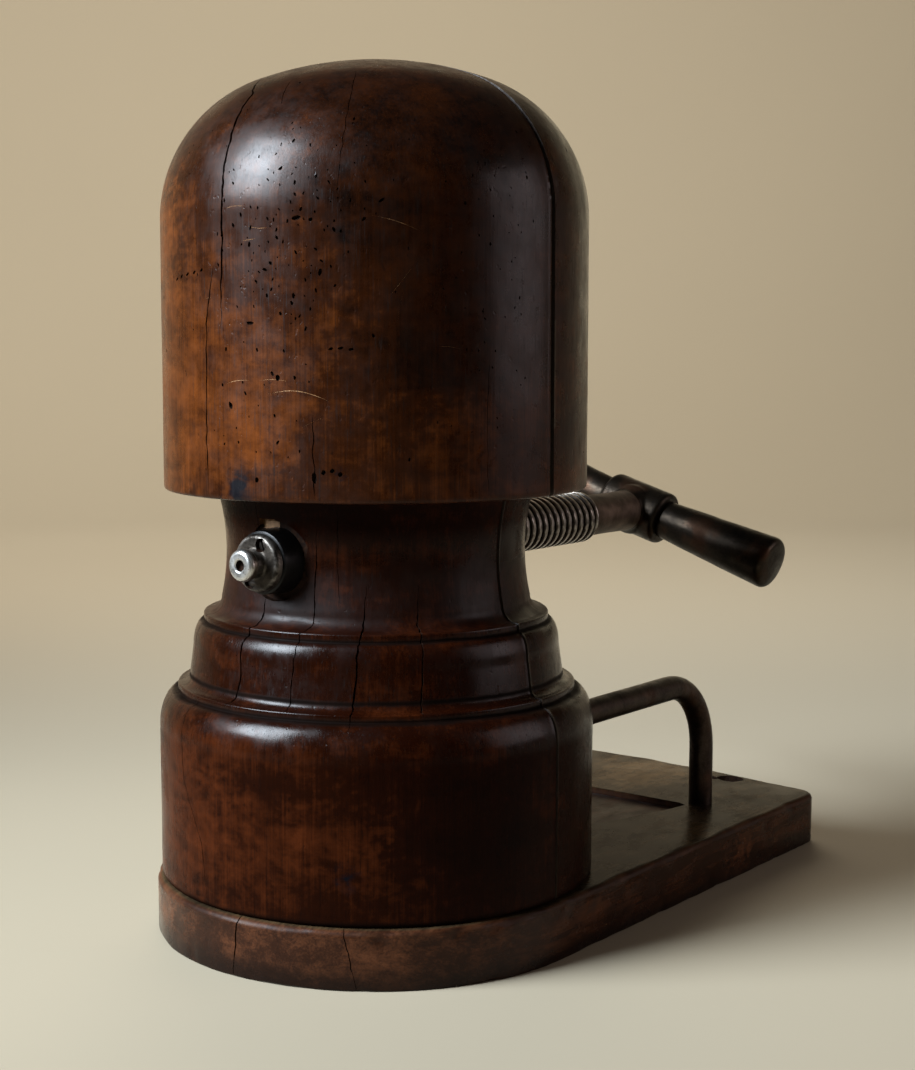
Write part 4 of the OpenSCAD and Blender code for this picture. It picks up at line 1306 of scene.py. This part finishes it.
CAD_MATERIALS = {
    "head_dowels_front": DOWEL_WOOD, "head_dowels_rear": DOWEL_WOOD, "slide_key": DOWEL_WOOD,
    "base_screws": SCREW_IRON, "thrust_plate": GREY_IRON,
    "thrust_plate_screws": SCREW_IRON, "nut_plate": GREY_IRON, "nut_plate_screws": SCREW_IRON,
    "stay_nuts": SCREW_IRON, "slide_key_screws": SCREW_IRON,
}
for node_name, node_material in CAD_MATERIALS.items():
    node_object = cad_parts[node_name]
    node_object.data.materials.clear()
    node_object.data.materials.append(node_material)


# ---- studio ----

AIM = Vector((0, 0, 0.2))  # metres, the middle of the object


def make_stage():
    """Pale floor that curves up into a round wall, with the object in the middle."""
    floor_r = 1700
    cove_r = 900
    outline = [(0, 0)] + [(floor_r * t, 0) for t in (0.2, 0.4, 0.7, 1)]
    outline += arc(floor_r, cove_r, cove_r, -90, 0, 24)[1:] + [(floor_r + cove_r, 2600)]
    stage = to_object(lathe(outline, 128), "studio_floor")
    smooth(stage, 60)
    stage.data.transform(TO_METRES)
    stage.data.materials.append(stage_paint())


def seen_from(azimuth, elevation, distance):
    """Place at a direction and distance from the object."""
    e = math.radians(elevation)
    return AIM + (outward(azimuth) * math.cos(e) + UP * math.sin(e)) * distance


def area_light(name, place, target, size, power, colour, spread):
    """Rectangular light facing its target, with a grid that keeps its beam within the spread."""
    light = bpy.data.lights.new(name, "AREA")
    light.shape = "RECTANGLE"
    light.size, light.size_y = size
    light.energy = power
    light.color = colour
    light.spread = math.radians(spread)
    obj = bpy.data.objects.new(name, light)
    obj.location = place
    obj.rotation_euler = (place - target).to_track_quat("Z", "Y").to_euler()
    obj.visible_camera = False
    bpy.context.scene.collection.objects.link(obj)
    return obj


make_stage()
area_light("window", seen_from(-120, 32.5, 1.5), AIM, (0.76, 0.92), 12.6, (0.80, 0.90, 1.0), 60)
area_light("room_right", seen_from(29, 14, 1.6), AIM, (1.0, 0.9), 1.15, (1.0, 0.86, 0.88), 80)
area_light("room_back", seen_from(100, 12, 1.7), AIM, (0.9, 0.7), 0.1, (1.0, 0.9, 0.62), 70)
rear_fill = area_light("rear_fill", seen_from(129, 26, 1.7), AIM, (1.2, 0.9), 2.2,
                       (1.0, 0.95, 0.88), 60)
rear_fill.visible_glossy = False
area_light("wall_light", Vector((-0.6, 0.5, 1.4)), Vector((-1.9, 1.9, 0.3)), (1.6, 1.0), 37,
           (1.0, 0.97, 0.92), 150)

world = bpy.data.worlds.new("studio_world")
world.use_nodes = True
world.node_tree.nodes["Background"].inputs["Color"].default_value = (1.0, 0.96, 0.88, 1)
world.node_tree.nodes["Background"].inputs["Strength"].default_value = 0.04
bpy.context.scene.world = world
bpy.context.scene.view_settings.view_transform = "Standard"


def make_camera():
    """Camera just above the mouldings' height, at the nose end's right, looking a little down."""
    heading = math.radians(38.62)
    pitch = 0.1077
    roll = -0.0035
    forward = Vector((-math.sin(heading) * math.cos(pitch), math.cos(heading) * math.cos(pitch),
                      -math.sin(pitch)))
    level = Vector((math.cos(heading), math.sin(heading), 0))
    upright = level.cross(forward)
    right = level * math.cos(roll) + upright * math.sin(roll)
    up = upright * math.cos(roll) - level * math.sin(roll)
    camera = bpy.data.cameras.new("camera")
    camera.sensor_width = 36
    camera.lens = 63.65
    camera.shift_x = 0.0724
    obj = bpy.data.objects.new("camera", camera)
    rotation = Matrix((right, up, -forward)).transposed().to_4x4()
    obj.matrix_world = Matrix.Translation((0.4936, -0.6150, 0.2500)) @ rotation
    bpy.context.scene.collection.objects.link(obj)
    bpy.context.scene.camera = obj


make_camera()
